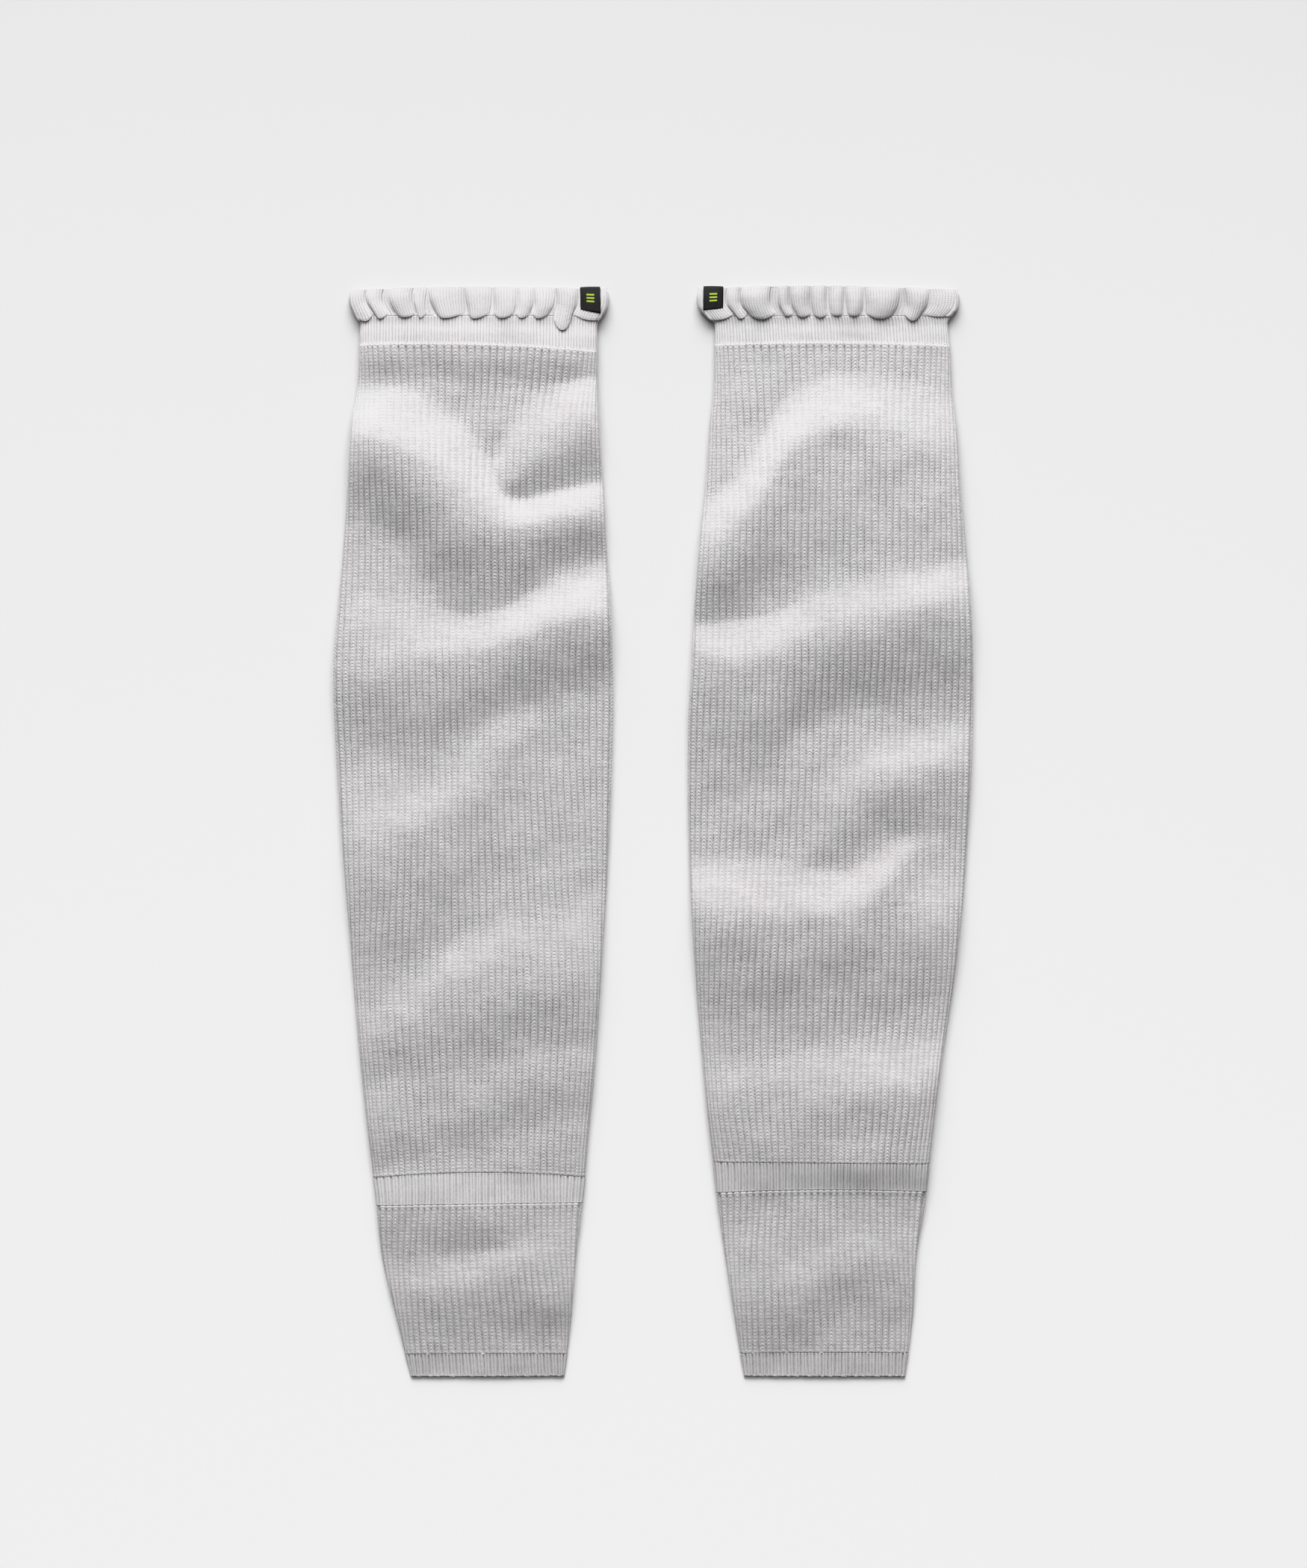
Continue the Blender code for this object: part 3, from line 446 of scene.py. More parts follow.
# "tall" is the height of the front's ribs over the floor without the folds, at the top and bottom.
# "wall" gives the thickness there, "grow" the courses from each end until the ribs are at full depth.
chunkyStitch = dict(slot="chunky_knit", crest=0.65, pitch=None, columnsPerRib=4, profile=chunkyProfile,
                    slope=0.85, bend=1.25, fuzz=0.06, dip=0.0)
twinStitch = dict(slot="fine_rib", pitch=None, columnsPerRib=8, profile=twinProfile, slope=-0.4, bend=1.0,
                  fuzz=0.03, uneven=0.05, grow=(0.6, 0.6), dip=0.0, yarn=twinYarn)
stretches = [
    dict(name="TopBand", node="_top_band", slot="fine_rib", top="gather", bottom="band",
         wall=(1.7, 1.7), crest=0.3, tall=(4.16, 4.5), pitch=1.66, course=1.2, columnsPerRib=4,
         profile=fineProfile, slope=0.3, bend=1.0, fuzz=0.02, uneven=0.0, steady=0.8, grow=(0.6, 0.6),
         dip=0.35, insideRows=6, yarn=fineYarn),
    dict(chunkyStitch, name="Leg", node="_leg", top="band", bottom="ankleTop", wall=(2.3, 2.3),
         tall=(5.7, 5.4), course=1.83, uneven=0.2, steady=0.55, grow=(1.8, 0.6), insideRows=60,
         yarn=chunkyYarn),
    dict(twinStitch, name="AnkleRib", node="_ankle_rib", top="ankleTop", bottom="ankleBottom",
         wall=(2.1, 2.0), crest=0.45, tall=(5.4, 5.35), course=1.17, steady=0.7, insideRows=6),
    dict(chunkyStitch, name="LowerLeg", node="_lower_leg", top="ankleBottom", bottom="cuff",
         wall=(2.0, 0.9), tall=(5.35, 2.8), course=1.86, uneven=0.16, steady=0.6, grow=(0.8, 0.6),
         insideRows=16, yarn=tightYarn),
    dict(twinStitch, name="Cuff", node="_cuff", top="cuff", bottom="hem", wall=(0.8, 0.45), crest=0.3,
         tall=(2.8, 1.6), course=1.15, steady=0.75, insideRows=5),
]
ribPhases = {"rib": np.arange(-60, 61), "phase": random.uniform(0.0, 6.3, 121)}  # for uneven courses
underside = {"relief": 0.6, "from": 0.6}  # share of the relief, and where in the round it starts
rowsPerCourse = 2
endKeep = 0.22  # share of the ribs' depth that stays at a stretch's two ends
endShade = 0.25  # the shading starts so many courses in, against a bright half course along a seam
arching = {"top": 1.2, "bottom": 2.0}  # courses over which they bend into shape from each end
unevenness = {"short": 2.7, "long": 6.1, "turn": 1.7}  # waves in the courses, from rib to rib
dip = {"at": 4.2, "reach": 3.4}  # soft groove across the top band, by its distance from the ruffle
wander = {"long": (0.26, 29.0, 0.23), "short": (0.16, 8.0, 0.9), "fade": 12.0}  # of ribs sideways
pull = {"from": 0.03, "over": 0.16}  # slope of a fold's upper, lamp-facing flank from which its stitches get less painted shade and bump
hemBumps = {"height": 0.2, "reach": 2.0}


def spreadRibs(ribs, pitch, steady, total, reach):
    # even ribs over the middle, crowding towards the side where the tube is narrower
    room = reach - steady * pitch
    power = np.maximum((total - steady) * pitch / room, 1.0)
    share = np.clip((ribs - steady) / (total - steady), 0.0, 1.0)
    crowded = room * (0.94 * (1.0 - (1.0 - share) ** power) + 0.06 * share)
    return np.minimum(ribs, steady) * pitch + crowded


def stretchSkin(side, kind, counts, ribs, step):  # outer points over the given ribs
    courses, frontRibs, backRibs = counts
    course = np.arange(0, courses * rowsPerCourse + 1, step)[:, None] / rowsPerCourse
    across = (ribs - np.round(ribs)) * 2.0
    fade = ease(course / arching["top"]) * ease((courses - course) / arching["bottom"])
    arch = kind["slope"] * np.abs(across) ** kind["bend"]
    phase = np.interp(ribs, ribPhases["rib"], ribPhases["phase"])
    arch = arch + (kind["uneven"] * np.sin(course / unevenness["short"] + phase)
                   * np.cos(course / unevenness["long"] + unevenness["turn"] * phase))
    way = np.clip((course + arch * fade) / courses, 0.0, 1.0)
    level = seamToSeam(side, kind, 0.0, way)
    middle, half = middleAndHalf(side, level)
    radius = between(kind["wall"], way) + layerGap / 2.0
    flat = half - kind["crest"] / 2.0 - radius
    pitch = kind["pitch"] or through(*zip(*ribPitches[side]), level)
    toBack = underside["from"] * math.pi * radius
    onFront = spreadRibs(np.minimum(np.abs(ribs), frontRibs), pitch, frontRibs * kind["steady"],
                         frontRibs, flat + toBack)
    fromBack = spreadRibs(np.clip(frontRibs + backRibs - np.abs(ribs), 0.0, backRibs), pitch,
                          backRibs * kind["steady"], backRibs, flat + math.pi * radius - toBack)
    onBack = 2.0 * flat + math.pi * radius - fromBack
    distance = np.where(np.abs(ribs) <= frontRibs, onFront, onBack)
    distance = np.where(ribs < 0.0, -distance, distance)
    x, z, lean = onTube(distance, flat, radius)
    faceUp = (1.0 + np.cos(lean)) / 2.0
    along = 1.0 - np.abs(2.0 * (course - np.floor(course)) - 1.0) if step == 1 else 0.5
    relief = kind["profile"](across, along) + 0.0 * x
    grown = ease(course / kind["grow"][0]) * ease((courses - course) / kind["grow"][1])
    relief = relief * (endKeep + (1.0 - endKeep) * grown)
    if step == 1:
        room = np.abs(np.gradient(distance, axis=1)) / np.gradient(ribs)[None, :] / pitch
        relief = relief * np.clip(room, 0.15, 1.0)
        relief = relief * (1.0 - (1.0 - underside["relief"]) * (1.0 - faceUp))
        relief = relief + random.normal(0.0, kind["fuzz"], relief.shape) * faceUp * grown
    else:
        relief = relief * underside["relief"]
    out = (between(kind["tall"], way) - 2.0 * radius) * faceUp + np.minimum(relief, 0.4 * faceUp)
    fromDip = (course * kind["course"] - dip["at"]) / dip["reach"]
    out = out - kind["dip"] * faceUp * np.exp(-fromDip ** 2)
    x = x + out * np.sin(lean)
    z = z + out * np.cos(lean)
    down = seamToSeam(side, kind, x / half, way)
    size, length, change = wander["long"]
    drift = size * np.sin(down / length + change * ribs)
    size, length, change = wander["short"]
    drift = drift + size * np.sin(down / length + change * ribs + phase)
    x = x + drift * faceUp * ease((flat - np.abs(x)) / wander["fade"])
    if kind["bottom"] == "hem":  # the hem's edge is slightly bumpy
        toHem = (courses - course) * kind["course"]
        bumps = hemBumps["height"] * np.cos(math.pi * across)
        down = down + bumps * ease(1.0 - toHem / hemBumps["reach"])
    # a fold's flank that faces the lamp, where the stitches get less painted shade
    rise = (foldHeight(side, middle + x, down + 1.0) - foldHeight(side, middle + x, down - 1.0)) / 2.0
    pulled = ease((rise - pull["from"]) / pull["over"]) * faceUp
    points = placed(side, middle + x, down, z, lean)
    shaded = np.clip(course, endShade, courses - endShade)
    return points, shaded + 0.0 * x, pulled, (x, lean, flat + 0.0 * x)


# raised purl edge between the top band and the leg

bandEdge = {"name": "BandEdge", "on": "Leg", "thick": 0.36, "tall": 5.5, "sunk": 0.6, "wave": 0.4,
            "beads": 4, "beadDepth": 0.4, "uneven": 0.06}  # "wave" follows the ribs, "beads" the stitches


def purlEdge(side, kind):
    seam = seams[side][kind["top"]]
    middle, half = middleAndHalf(side, seam[1])
    radius = kind["wall"][0] + layerGap / 2.0
    flat = float(half) - kind["crest"] / 2.0 - radius
    pitch = float(through(*zip(*ribPitches[side]), seam[1]))
    reach = flat + 0.55 * math.pi * radius
    run = np.arange(-reach, reach, pitch / bandEdge["beads"] / 3.0)
    bead = run / pitch * bandEdge["beads"]
    x, z, lean = onTube(run, flat, radius)
    out = bandEdge["tall"] - 2.0 * radius - bandEdge["thick"] * bandEdge["sunk"]
    thick = bandEdge["thick"] * (1.0 - bandEdge["beadDepth"] * np.abs(np.sin(math.pi * bead)) ** 2)
    thick = thick * (1.0 + random.normal(0.0, bandEdge["uneven"], thick.shape))
    down = seamDown(seam, x / half) - bandEdge["wave"] * np.cos(2.0 * math.pi * run / pitch)
    angle = np.linspace(0.0, 2.0 * math.pi, 9)[:-1]
    lift = (out + thick * np.cos(angle)[:, None]).T
    down = (down + thick * np.sin(angle)[:, None]).T
    x, z, lean = x[:, None], z[:, None], lean[:, None]
    points = placed(side, middle + x + lift * np.sin(lean), down, z + lift * np.cos(lean),
                    lean + 0.0 * lift)
    faces = ringFaces(0, len(run), len(angle))
    faces.append(list(range(len(angle))))
    faces.append(list(range((len(run) - 1) * len(angle), len(run) * len(angle))))
    return makePiece(side + bandEdge["name"], points.reshape(-1, 3), faces, fineYarn)


def tubeInside(side, kind):  # the plain inner skin of a stretch
    shares = np.linspace(-1.0, 1.0, 15)
    across = np.concatenate([-shares[7:], [-1.0], shares, [1.0], shares[:7:-1]])
    lean = np.concatenate([np.full(8, -math.pi), [-math.pi / 2], np.zeros(15), [math.pi / 2],
                           np.full(7, math.pi)])
    way = np.linspace(0.0, 1.0, kind["insideRows"])[:, None]
    wall = between(kind["wall"], way)
    middle, half = middleAndHalf(side, seamToSeam(side, kind, 0.0, way))
    radius = layerGap / 2.0
    flat = half - kind["crest"] / 2.0 - wall - radius
    x = across * flat + radius * np.sin(lean)
    z = wall + radius * (1.0 + np.cos(lean)) + 0.0 * x
    down = seamToSeam(side, kind, x / half, way)
    return placed(side, middle + x, down, z, lean + 0.0 * x), roundOrder(x[0], lean, flat[0])


def knitStretch(side, kind):
    start, stop = seams[side][kind["top"]][1], seams[side][kind["bottom"]][1]
    courses = round((stop - start) / kind["course"])
    radius = min(kind["wall"]) + layerGap / 2.0
    levels = np.linspace(start, stop, 60)
    flats = middleAndHalf(side, levels)[1] - kind["crest"] / 2.0 - radius
    pitches = kind["pitch"] or through(*zip(*ribPitches[side]), levels)
    toBack = underside["from"] * math.pi * radius
    frontRibs = round(float(((flats + toBack) / pitches).max()) - 0.5) + 0.5
    backRibs = round(float(((flats + math.pi * radius - toBack) / pitches).max()))
    counts = (courses, frontRibs, backRibs)
    perRib, coarse = kind["columnsPerRib"], 3 * rowsPerCourse
    rows = courses * rowsPerCourse
    while rows % coarse:
        coarse -= 1
    front = np.arange(-round(frontRibs * perRib), round(frontRibs * perRib) + 1) / perRib
    backRight = frontRibs + np.arange(1, 2 * backRibs + 1) / 2.0
    back = np.concatenate([backRight, -backRight[-2::-1]])
    frontPoints, frontCourse, frontPulled, frontPlace = stretchSkin(side, kind, counts, front, 1)
    backPoints, backCourse, backPulled, backPlace = stretchSkin(side, kind, counts, back, coarse)
    rowCount, columnCount = frontPoints.shape[:2]
    coarseCount, backCount = backPoints.shape[:2]
    firstBack = rowCount * columnCount
    faces = gridFaces(0, rowCount, columnCount) + gridFaces(firstBack, coarseCount, backCount)
    for k in range(coarseCount - 1):  # the fine front meets the coarse back along both sides
        fine = [(k * coarse + j) * columnCount for j in range(coarse + 1)]
        upper, lower = firstBack + k * backCount, firstBack + (k + 1) * backCount
        faces.append([upper] + [row + columnCount - 1 for row in fine] + [lower])
        faces.append(fine + [lower + backCount - 1, upper + backCount - 1])
    inside, insideOrder = tubeInside(side, kind)
    insideRows, insideCount = inside.shape[:2]
    firstInside = firstBack + coarseCount * backCount
    faces += ringFaces(firstInside, insideRows, insideCount)
    half = len(backRight)
    skinFaces = len(faces)
    for row, coarseRow, inner in ((0, 0, 0), (rowCount - 1, coarseCount - 1, insideRows - 1)):
        low = firstBack + coarseRow * backCount
        ring = [*range(low + half - 1, low + backCount),
                *range(row * columnCount, (row + 1) * columnCount), *range(low, low + half - 1)]
        frontOrder = roundOrder(*[values[row] for values in frontPlace])
        backOrder = roundOrder(*[values[coarseRow] for values in backPlace])
        order = np.concatenate([[-3.0], backOrder[half:], frontOrder, backOrder[:half - 1]])
        innerRing = range(firstInside + inner * insideCount, firstInside + (inner + 1) * insideCount)
        faces += bridgeFaces(ring, innerRing, np.maximum.accumulate(order), insideOrder)
    points = np.concatenate([part.reshape(-1, 3) for part in (frontPoints, backPoints, inside)])
    plain = np.zeros(insideRows * insideCount)
    marks = {
        "rib": np.concatenate([np.broadcast_to(front, frontCourse.shape).ravel(),
                               np.broadcast_to(back, backCourse.shape).ravel(), plain]),
        "course": np.concatenate([frontCourse.ravel(), backCourse.ravel(), plain + 0.5]),
        "pulled": np.concatenate([frontPulled.ravel(), backPulled.ravel(), plain]),
    }
    piece = makePiece(side + kind["name"], points, faces, kind["yarn"], marks,
                      len(faces) - skinFaces)
    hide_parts(side + kind["node"])
    edges = [purlEdge(side, kind)] if kind["name"] == bandEdge["on"] else []


# the gathered ruffle

ruffle = {"top": "rim", "bottom": "gather", "wall": 1.7, "widest": 9.0, "ribPitch": 1.6,
          "ribHeight": 0.2, "course": 1.25, "clearance": 0.28, "insideFollows": 0.62, "scallop": 0.9,
          "corner": 0.12, "rows": 52, "fuzz": 0.02, "valley": 0.2, "valleyFrom": 0.7, "skewing": 1.8}

ruffleProfile = [  # along the cloth, way from rim to seam, bulge, hang, lip, sunk below the skin
    (0, 0.045, 0.3, 0, 0, 1.1),
    (0.04, 0.005, 0.38, 0, 0, 0.45),
    (0.09, 0.012, 0.46, 0, 0, 0.05),
    (0.16, 0.08, 0.56, 0, 0, 0),
    (0.3, 0.27, 0.68, 0, 0, 0),
    (0.46, 0.49, 0.7, 0, 0, 0),
    (0.62, 0.72, 0.63, 0.1, 0, 0),
    (0.73, 0.86, 0.53, 0.5, 0.1, 0),
    (0.81, 0.945, 0.4, 0.88, 0.4, 0),
    (0.87, 0.985, 0.22, 1, 0.8, 0),
    (0.91, 0.99, 0.06, 0.9, 1, 0),
    (0.94, 0.992, 0, 0.55, 1, 0),
    (1, 1, 0, 0, 0.5, 0),
]
ruffleInside = [(0.03, 0.3), (0.12, 0.56), (0.46, 0.7), (0.8, 0.6), (1, 0)]  # way, bulge

# left and right edge at the rim, the same at the seam, drop, height, where fullest, how pointed
lobes = {
    "left": [(-169.5, -158.4, -169, -157, 3.2, 2.7, 0.6, 1.6),
        (-158.3, -149.2, -155.8, -149, 1.9, 2.7, 0.35, 1.4),
        (-145.7, -132.4, -143.8, -133.4, 1.3, 3.2, 0.45, 0.8),
        (-132.2, -124.1, -132, -127.2, 1.5, 1.9, 0.45, 1.4),
        (-123.6, -103.9, -120.4, -104.4, 1.8, 3, 0.25, 1.6),
        (-103.7, -88.4, -102, -89.8, 2, 3, 0.25, 1.6),
        (-88, -74.9, -87.2, -75.2, 1.8, 3.2, 0.35, 1.4),
        (-74.7, -66.3, -74.4, -66.6, 1.6, 2.6, 0.4, 0.8),
        (-65.9, -53.5, -64.6, -55, 1.8, 3, 0.3, 1.4),
        (-53.4, -41.9, -52.4, -42.3, 8.2, 3.5, 0.5, 0.6),
        (-41.7, -22, -41.6, -24, 2.6, 2.6, 0.7, 1.2)],
    "right": [(22, 39.8, 24, 39.6, 2.4, 3.3, 0.3, 1.2),
        (39.9, 47.2, 39.9, 46.8, 1.7, 2.8, 0.5, 1),
        (47.6, 63.8, 47.9, 63.2, 2.1, 4.5, 0.5, 1),
        (68.2, 74.3, 68.4, 74.2, 0.5, 3.5, 0.4, 1),
        (74.7, 85.9, 75.9, 84.9, 1.1, 4.1, 0.4, 1),
        (86.1, 94.6, 85.9, 94.2, 1.3, 3.7, 0.55, 0.8),
        (96.2, 104.4, 96.2, 103.6, 0.4, 3.5, 0.55, 1),
        (104.8, 114.9, 106.6, 114.2, 0.6, 3.8, 0.45, 1),
        (115.9, 135.2, 117.9, 133.4, 1.9, 4.5, 0.5, 0.9),
        (137.8, 151.2, 140.2, 149.6, 3, 4.1, 0.5, 1),
        (151.4, 170.5, 150.6, 168, 0.6, 2.3, 0.6, 1.2)],
}


def lobeFull(share, fullest):  # 0 at a lobe's two edges, 1 where it is fullest
    bent = np.where(share < fullest, 0.5 * share / fullest,
                    0.5 + 0.5 * (share - fullest) / (1.0 - fullest))
    off = np.abs(2.0 * bent - 1.0)
    return np.clip(1.0 - off ** 2.1, 0.0, 1.0) ** 0.75


def rufflePlace(side):  # middle and half width of its flat part
    middle, half = middleAndHalf(side, ruffle["widest"])
    return float(middle), float(half) - ruffle["wall"] - layerGap / 2.0


def ruffleColumns(side, perRib):
    # (x at the rim, x at the seam, full, drop, height) and the lean, from the back's middle
    middle, flat = rufflePlace(side)
    low, high = middle - flat, middle + flat
    step = ruffle["ribPitch"] / perRib
    front = []
    edge = None
    for rimLeft, rimRight, seamLeft, seamRight, drop, height, fullest, pointed in lobes[side]:
        if edge is not None and rimLeft - edge[0] + seamLeft - edge[1] > ruffle["valleyFrom"]:
            for share in (0.33, 0.67):
                front.append((edge[0] + share * (rimLeft - edge[0]),
                              edge[1] + share * (seamLeft - edge[1]), 0.0, 0.0, height))
        fine = np.linspace(0.0, 1.0, 400)
        tall = height * lobeFull(fine, fullest)
        run = fromStart(np.hypot(np.diff(fine) * (rimRight - rimLeft), np.diff(tall)))
        count = max(round(run[-1] / step), 6)
        for share in np.interp(np.linspace(0.0, run[-1], count + 1), run, fine):
            full = float(lobeFull(share, fullest))
            front.append((rimLeft + share * (rimRight - rimLeft),
                          seamLeft + share * (seamRight - seamLeft), full, drop * full ** pointed,
                          height))
        edge = (rimRight, seamRight)
    table = np.array([column for column in front if low < column[0] < high])
    lean = np.zeros(len(table))
    leans = np.linspace(0.0, math.pi, 2 * perRib + 2)[1:]
    first, last = table[0].copy(), table[-1].copy()
    first[0] = first[1] = low
    last[0] = last[1] = high
    backCount = round(2.0 * flat / ruffle["ribPitch"] * 2.0)
    back = np.zeros((backCount, 5))
    back[:, 0] = back[:, 1] = np.linspace(high, low, backCount + 2)[1:-1]
    backHalf = backCount // 2
    table = np.concatenate([back[backHalf:], np.tile(first, (len(leans) + 1, 1)), table,
                            np.tile(last, (len(leans) + 1, 1)), back[:backHalf]])
    lean = np.concatenate([np.full(backCount - backHalf, -math.pi), -leans[::-1], [0.0], lean, [0.0],
                           leans, np.full(backHalf, math.pi)])
    return table, lean


def rufflePoints(side, columns, lean, rows, inset):
    # rows: arrays of way, bulge, hang, lip and sunk, one value a row
    way, bulge, hang, lip, sunk = [np.asarray(values)[:, None] for values in rows]
    middleWide, flatWide = rufflePlace(side)
    rimX, seamX, full, drop, height = columns.T
    middle, half = middleAndHalf(side, seamToSeam(side, ruffle, 0.0, way))
    radius = ruffle["wall"] + layerGap / 2.0 - inset
    flat = half - radius - inset
    front = (1.0 + np.cos(lean)) / 2.0
    if not inset:  # a lobe's lower corners are round: near its edges the cloth turns under earlier
        last = np.clip((way - 0.992) / 0.008, 0.0, 1.0)
        way = way * (1.0 - ruffle["corner"] * (1.0 - full) * (height > 0.0) * front * (1.0 - last))
    # the valleys between the lobes are shallow at the rim and deepen towards the seam
    shallow = ruffle["valley"] * (1.0 - full) * (1.0 - ease(way / 0.9))
    towardsSeam = way ** ruffle["skewing"]
    bent = rimX * (1.0 - towardsSeam) + seamX * towardsSeam
    across = (bent - middleWide) / flatWide
    x = across * flat + radius * np.sin(lean)
    follow = ruffle["insideFollows"] if inset else 1.0
    z = inset + radius * (1.0 + np.cos(lean)) - sunk * np.cos(lean)
    z = z + follow * height * (bulge * full + shallow) * front
    z = z + lip * ruffle["clearance"] * ease(full / 0.3) * front
    down = seamToSeam(side, ruffle, across, way)
    down = down - ruffle["scallop"] * (full - 0.4) * front * np.clip(1.0 - way, 0.0, 1.0) ** 3
    down = down + hang * drop * front ** 3
    return placed(side, middle + x, down, z, lean + 0.0 * x)


def normalsOf(points):
    along = np.gradient(points, axis=0)
    across = np.roll(points, -1, axis=1) - np.roll(points, 1, axis=1)
    normal = np.cross(along, across)
    length = np.linalg.norm(normal, axis=-1, keepdims=True)
    return normal / np.maximum(length, 1e-12)


def ruffleRows(at):
    table = np.array(ruffleProfile)
    return [through(table[:, 0], table[:, k], at) for k in range(1, 6)]


def makeRuffle(side):
    columns, lean = ruffleColumns(side, 4)
    at = np.linspace(0.0, 1.0, ruffle["rows"])
    outer = rufflePoints(side, columns, lean, ruffleRows(at), 0.0)
    crown = outer[ruffle["rows"] // 2]
    steps = np.linalg.norm(np.diff(crown, axis=0, append=crown[:1]), axis=1)
    ribs = fromStart(steps[:-1]) / (ruffle["ribPitch"] * mm)
    path = np.linalg.norm(np.diff(outer, axis=0), axis=2).mean(axis=1)
    course = fromStart(path) / (ruffle["course"] * mm)
    course = course[:, None] + 0.0 * ribs
    normal = normalsOf(outer)
    if normal[ruffle["rows"] // 2, len(lean) // 2, 2] < 0.0:
        normal = -normal
    faceUp = (1.0 + np.cos(lean)) / 2.0
    off = (ribs - np.round(ribs)) * 2.0
    relief = -ruffle["ribHeight"] * 2.0 * np.abs(off) ** 2 + 0.0 * course
    relief = relief + random.normal(0.0, ruffle["fuzz"], relief.shape)
    valley = 1.0 - ease(columns[:, 2] / 0.3)
    fade = np.maximum(ease((0.93 - at) / 0.1)[:, None], valley) * ease(at / 0.03)[:, None]
    outer = outer + normal * (relief * faceUp * fade)[..., None] * mm
    coarse = np.arange(0, len(lean), 3)
    way, bulge = np.array(ruffleInside).T
    zero = np.zeros(len(way))
    inner = rufflePoints(side, columns[coarse], lean[coarse], [way, bulge, zero, zero, zero],
                         ruffle["wall"])
    rowCount, columnCount = outer.shape[:2]
    innerRows, innerCount = inner.shape[:2]
    firstInner = rowCount * columnCount
    faces = ringFaces(0, rowCount, columnCount) + ringFaces(firstInner, innerRows, innerCount)
    order = np.arange(columnCount) / columnCount * 6.0 - 3.0
    for row, innerRow in ((0, 0), (rowCount - 1, innerRows - 1)):
        ring = range(row * columnCount, (row + 1) * columnCount)
        innerRing = range(firstInner + innerRow * innerCount, firstInner + (innerRow + 1) * innerCount)
        mouth = bridgeFaces(ring, innerRing, order, order[coarse])
        faces += mouth
    points = np.concatenate([outer.reshape(-1, 3), inner.reshape(-1, 3)])
    marks = {
        "rib": np.concatenate([np.broadcast_to(ribs, relief.shape).ravel(), np.zeros(inner.size // 3)]),
        "course": np.concatenate([course.ravel(), np.full(inner.size // 3, 0.5)]),
    }
    piece = makePiece(side + "Ruffle", points, faces, ruffleYarn, marks, len(mouth))
    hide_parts(side + "_ruffle")
    around = steps.sum()
    length = path.sum()


# woven labels folded over the rim

label = {"width": {"left": (-40.4, -29.4), "right": (27.3, 38.2)}, "lift": 0.06, "thick": 0.26,
         "columns": 13, "rows": 22, "reach": {"left": 0.70, "right": 0.65},
         "skew": {"left": 0.35, "right": -0.2}, "smoothings": 6, "edgeWave": 0.25}


def makeLabel(side, material):
    left, right = label["width"][side]
    xs = np.linspace(left, right, label["columns"])
    table = []
    for x in xs:
        lobe = next(each for each in lobes[side] if x < each[1])
        full = float(lobeFull((x - lobe[0]) / (lobe[1] - lobe[0]), lobe[6]))
        table.append((x, x, full, lobe[4] * full, lobe[5]))
    # it follows the ruffle from inside the mouth over the rim
    at = np.concatenate([(0.0, 0.025, 0.05, 0.07), np.linspace(0.09, label["reach"][side], label["rows"])])
    sheet = rufflePoints(side, np.array(table), np.zeros(len(xs)), ruffleRows(at), 0.0)
    sheet[..., 0] = (xs + boxShift["x"]) * mm
    smooth = sheet.copy()
    for _ in range(label["smoothings"]):
        smooth[:, 1:-1, 2] = (smooth[:, :-2, 2] + smooth[:, 1:-1, 2] + smooth[:, 2:, 2]) / 3.0
    sheet[..., 2] = np.maximum(smooth[..., 2], sheet[..., 2])
    sheet[..., 0] += label["skew"][side] * mm * np.linspace(0.0, 1.0, len(at))[:, None]
    sheet[-1, :, 1] += label["edgeWave"] * mm * np.sin(np.linspace(0.5, 3.6, len(xs)))
    normal = normalsOf(sheet)
    normal[:, 0], normal[:, -1] = normal[:, 1], normal[:, -2]
    if normal[-5, 5, 2] < 0.0:
        normal = -normal
    inner = sheet + normal * label["lift"] * mm
    outer = sheet + normal * (label["lift"] + label["thick"]) * mm
    rows, columns = sheet.shape[:2]
    count = rows * columns
    faces = gridFaces(0, rows, columns) + gridFaces(count, rows, columns)
    border = [*range(columns - 1), *range(columns - 1, count - 1, columns),
              *range(count - 1, count - columns, -1), *range(count - columns, 0, -columns)]
    for here, following in zip(border, border[1:] + border[:1]):
        faces.append((here, following, following + count, here + count))
    run = fromStart(np.linalg.norm(np.diff(sheet, axis=0), axis=2).mean(axis=1))
    marks = {
        "acrossLabel": np.tile(np.broadcast_to((xs - left) / (right - left), (rows, columns)).ravel(), 2),
        "alongLabel": np.tile(np.repeat(run / mm, columns), 2),
    }
    piece = makePiece(side + "Label", np.concatenate([inner.reshape(-1, 3), outer.reshape(-1, 3)]),
                      faces, material, marks)
    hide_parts(side + "_label")


# "warps" over the width and "wefts" a millimetre, three short lime bars stitched in the middle
labelCloth = {"surface": {"Roughness": 0.62, "Specular IOR Level": 0.25}, "warps": 40.0, "wefts": 3.4,
              "black": ((0.018, 0.018, 0.019, 1.0), (0.033, 0.032, 0.033, 1.0)),
              "lime": ((0.3, 0.42, 0.04, 1.0), (0.42, 0.56, 0.07, 1.0))}
limeBars = {"from": 5.4, "spacing": 1.8, "count": 3.0, "halfWidth": 0.19, "thick": 0.45}


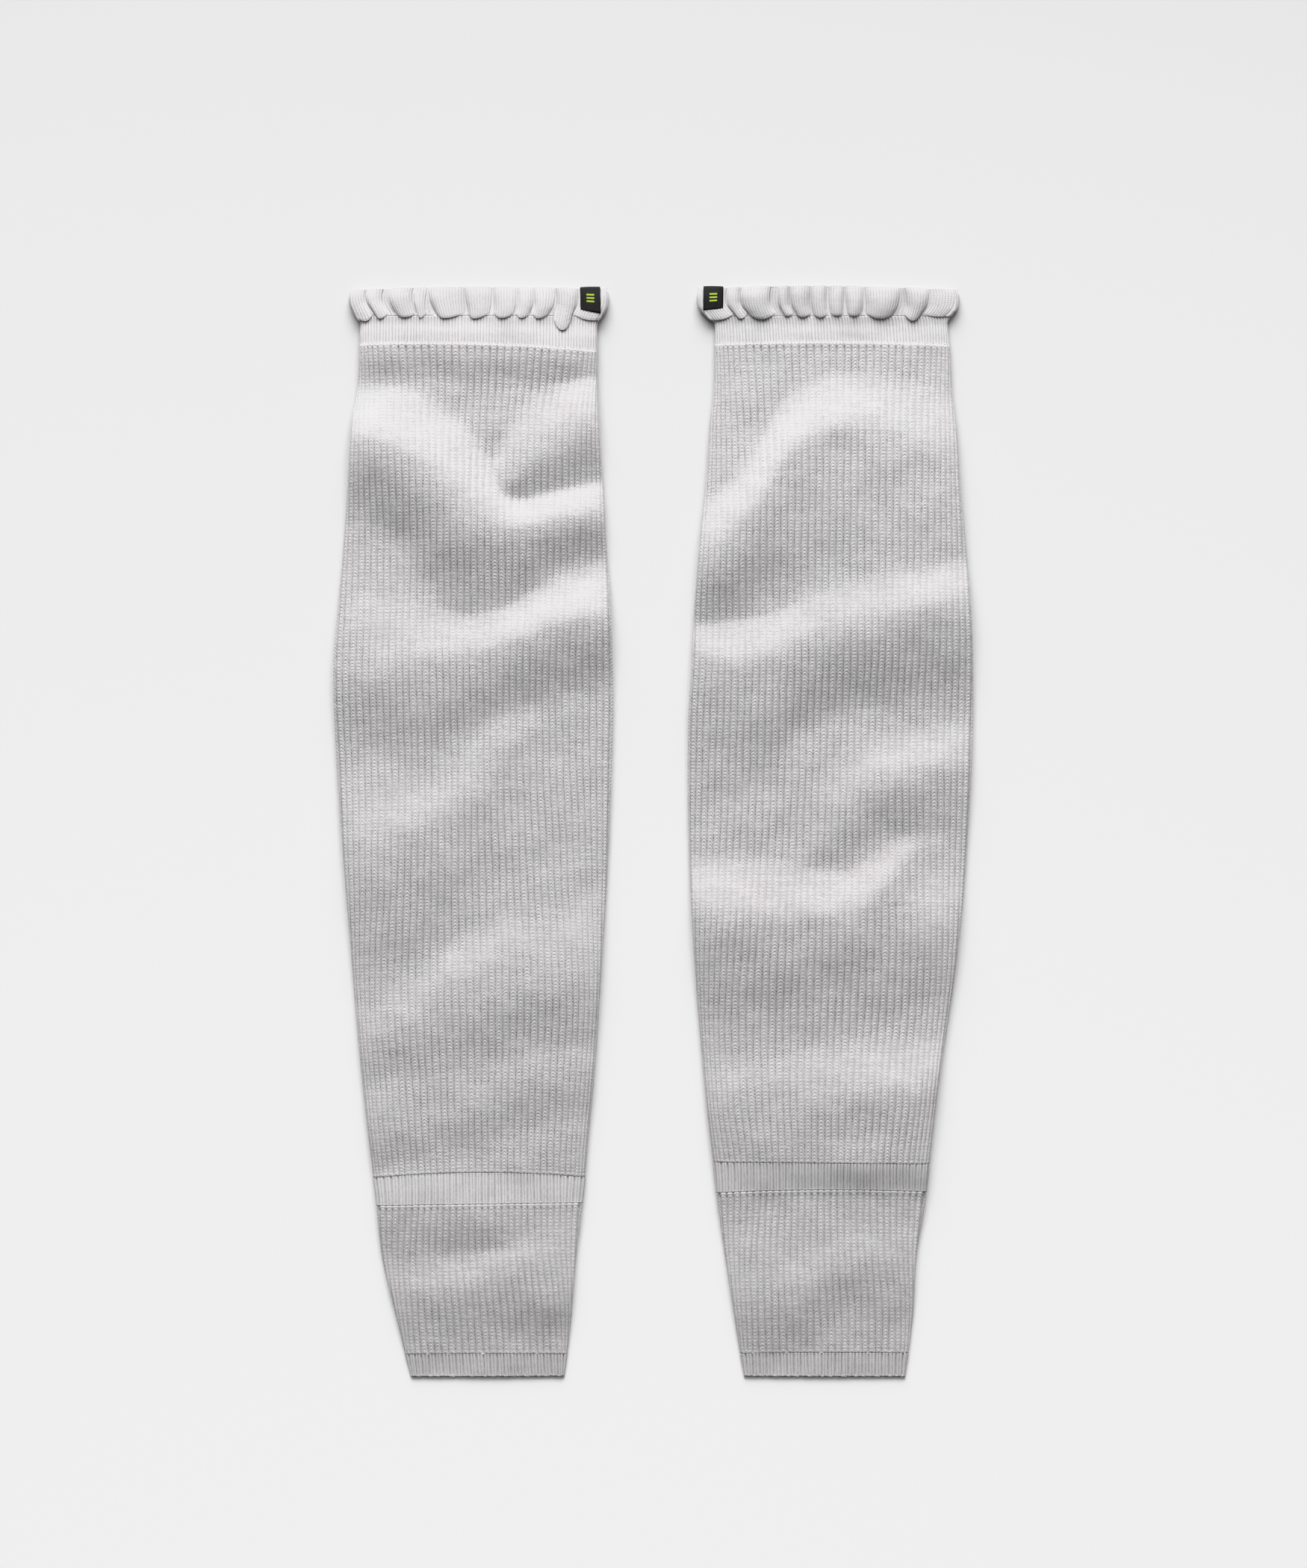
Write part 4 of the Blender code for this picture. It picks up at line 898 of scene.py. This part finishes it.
def labelMaterial():
    shade = Shade("blackWovenLabel", labelCloth["surface"])
    across, along = shade.mark("acrossLabel"), shade.mark("alongLabel")
    warp = shade.sum("SINE", shade.sum("MULTIPLY", across, 2.0 * math.pi * labelCloth["warps"]))
    weft = shade.sum("SINE", shade.sum("MULTIPLY", along, 2.0 * math.pi * labelCloth["wefts"]))
    weave = shade.sum("MULTIPLY", warp, weft)
    tone = shade.ramp(weave, 0.0, 1.0, -1.0, 1.0)
    off = shade.sum("ABSOLUTE", shade.sum("SUBTRACT", across, 0.5))
    rung = shade.sum("DIVIDE", shade.sum("SUBTRACT", along, limeBars["from"]), limeBars["spacing"])
    bar = shade.sum("MULTIPLY", shade.sum("LESS_THAN", off, limeBars["halfWidth"]),
                    shade.sum("LESS_THAN", shade.sum("FRACT", rung), limeBars["thick"]))
    bar = shade.sum("MULTIPLY", bar, shade.sum("GREATER_THAN", rung, 0.0))
    bar = shade.sum("MULTIPLY", bar, shade.sum("LESS_THAN", rung, limeBars["count"]))
    cloth = shade.mix(bar, shade.mix(tone, *labelCloth["black"]), shade.mix(tone, *labelCloth["lime"]))
    shade.feed("Base Color", cloth)
    bump = shade.add("ShaderNodeBump", {"Height": weave, "Strength": 0.5, "Distance": 0.0001})
    shade.feed("Normal", bump.outputs[0])
    return shade.material


blackLabel = labelMaterial()

for side in ("left", "right"):
    makeRuffle(side)
    makeLabel(side, blackLabel)
    for kind in stretches:
        knitStretch(side, kind)
    print(side, "leg warmer knitted")

# floor, lights and camera

floorLook = {"reach": 4.0, "down": 0.0001, "surface": {"Roughness": 0.9}}
floorFade = {"From Min": -0.42, "From Max": 0.55, "To Min": 0.91, "To Max": 0.46}  # evens out the light
reach, level = floorLook["reach"], -floorLook["down"]
corners = [(-reach, -reach, level), (reach, -reach, level), (reach, reach, level), (-reach, reach, level)]
floorMesh = bpy.data.meshes.new("floor")
floorMesh.from_pydata(corners, [], [(0, 1, 2, 3)])
floor = bpy.data.objects.new("floor", floorMesh)
bpy.context.scene.collection.objects.link(floor)
floorPaint = Shade("paleFloor", floorLook["surface"])
along = floorPaint.add("ShaderNodeTexCoord").outputs["Object"]
along = floorPaint.add("ShaderNodeSeparateXYZ", {0: along}).outputs[1]
evened = floorPaint.add("ShaderNodeMapRange", {"Value": along, **floorFade}).outputs[0]
floorGrey = floorPaint.add("ShaderNodeCombineColor", {0: evened, 1: evened, 2: evened}).outputs[0]
floorPaint.feed("Base Color", floorGrey)
floorMesh.materials.append(floorPaint.material)

lighting = {
    "key": {"place": (-0.2, 3.3, 1.7), "size": (3.6, 2.8), "power": 364.0},
    "high": {"place": (0.1, 1.5, 3.0), "size": (2.4, 2.0), "power": 30.0},
    "aim": (0.0, -0.1, 0.0),
    "fill": 0.18,
}


def areaLight(name, place, size, power):
    data = bpy.data.lights.new(name, "AREA")
    data.shape = "RECTANGLE"
    data.size, data.size_y = size
    data.energy = power
    lamp = bpy.data.objects.new(name, data)
    lamp.location = place
    lamp.rotation_euler = (Vector(lighting["aim"]) - lamp.location).to_track_quat("-Z", "Y").to_euler()
    bpy.context.scene.collection.objects.link(lamp)


areaLight("keySoftbox", **lighting["key"])
areaLight("highSoftbox", **lighting["high"])
world = bpy.data.worlds.new("studio")
world.use_nodes = True
world.node_tree.nodes["Background"].inputs["Color"].default_value = (1.0, 1.0, 1.0, 1.0)
world.node_tree.nodes["Background"].inputs["Strength"].default_value = lighting["fill"]
bpy.context.scene.world = world
bpy.context.scene.view_settings.view_transform = "Khronos PBR Neutral"
print("floor and lights set")

view = {"place": (-0.0002, 0.0256, 2.037), "sensor": 36.0, "lens": 85.0}  # straight down
cameraData = bpy.data.cameras.new("camera")
cameraData.sensor_fit = "VERTICAL"
cameraData.sensor_height = view["sensor"]
cameraData.lens = view["lens"]
camera = bpy.data.objects.new("camera", cameraData)
camera.location = view["place"]
bpy.context.scene.collection.objects.link(camera)
bpy.context.scene.camera = camera
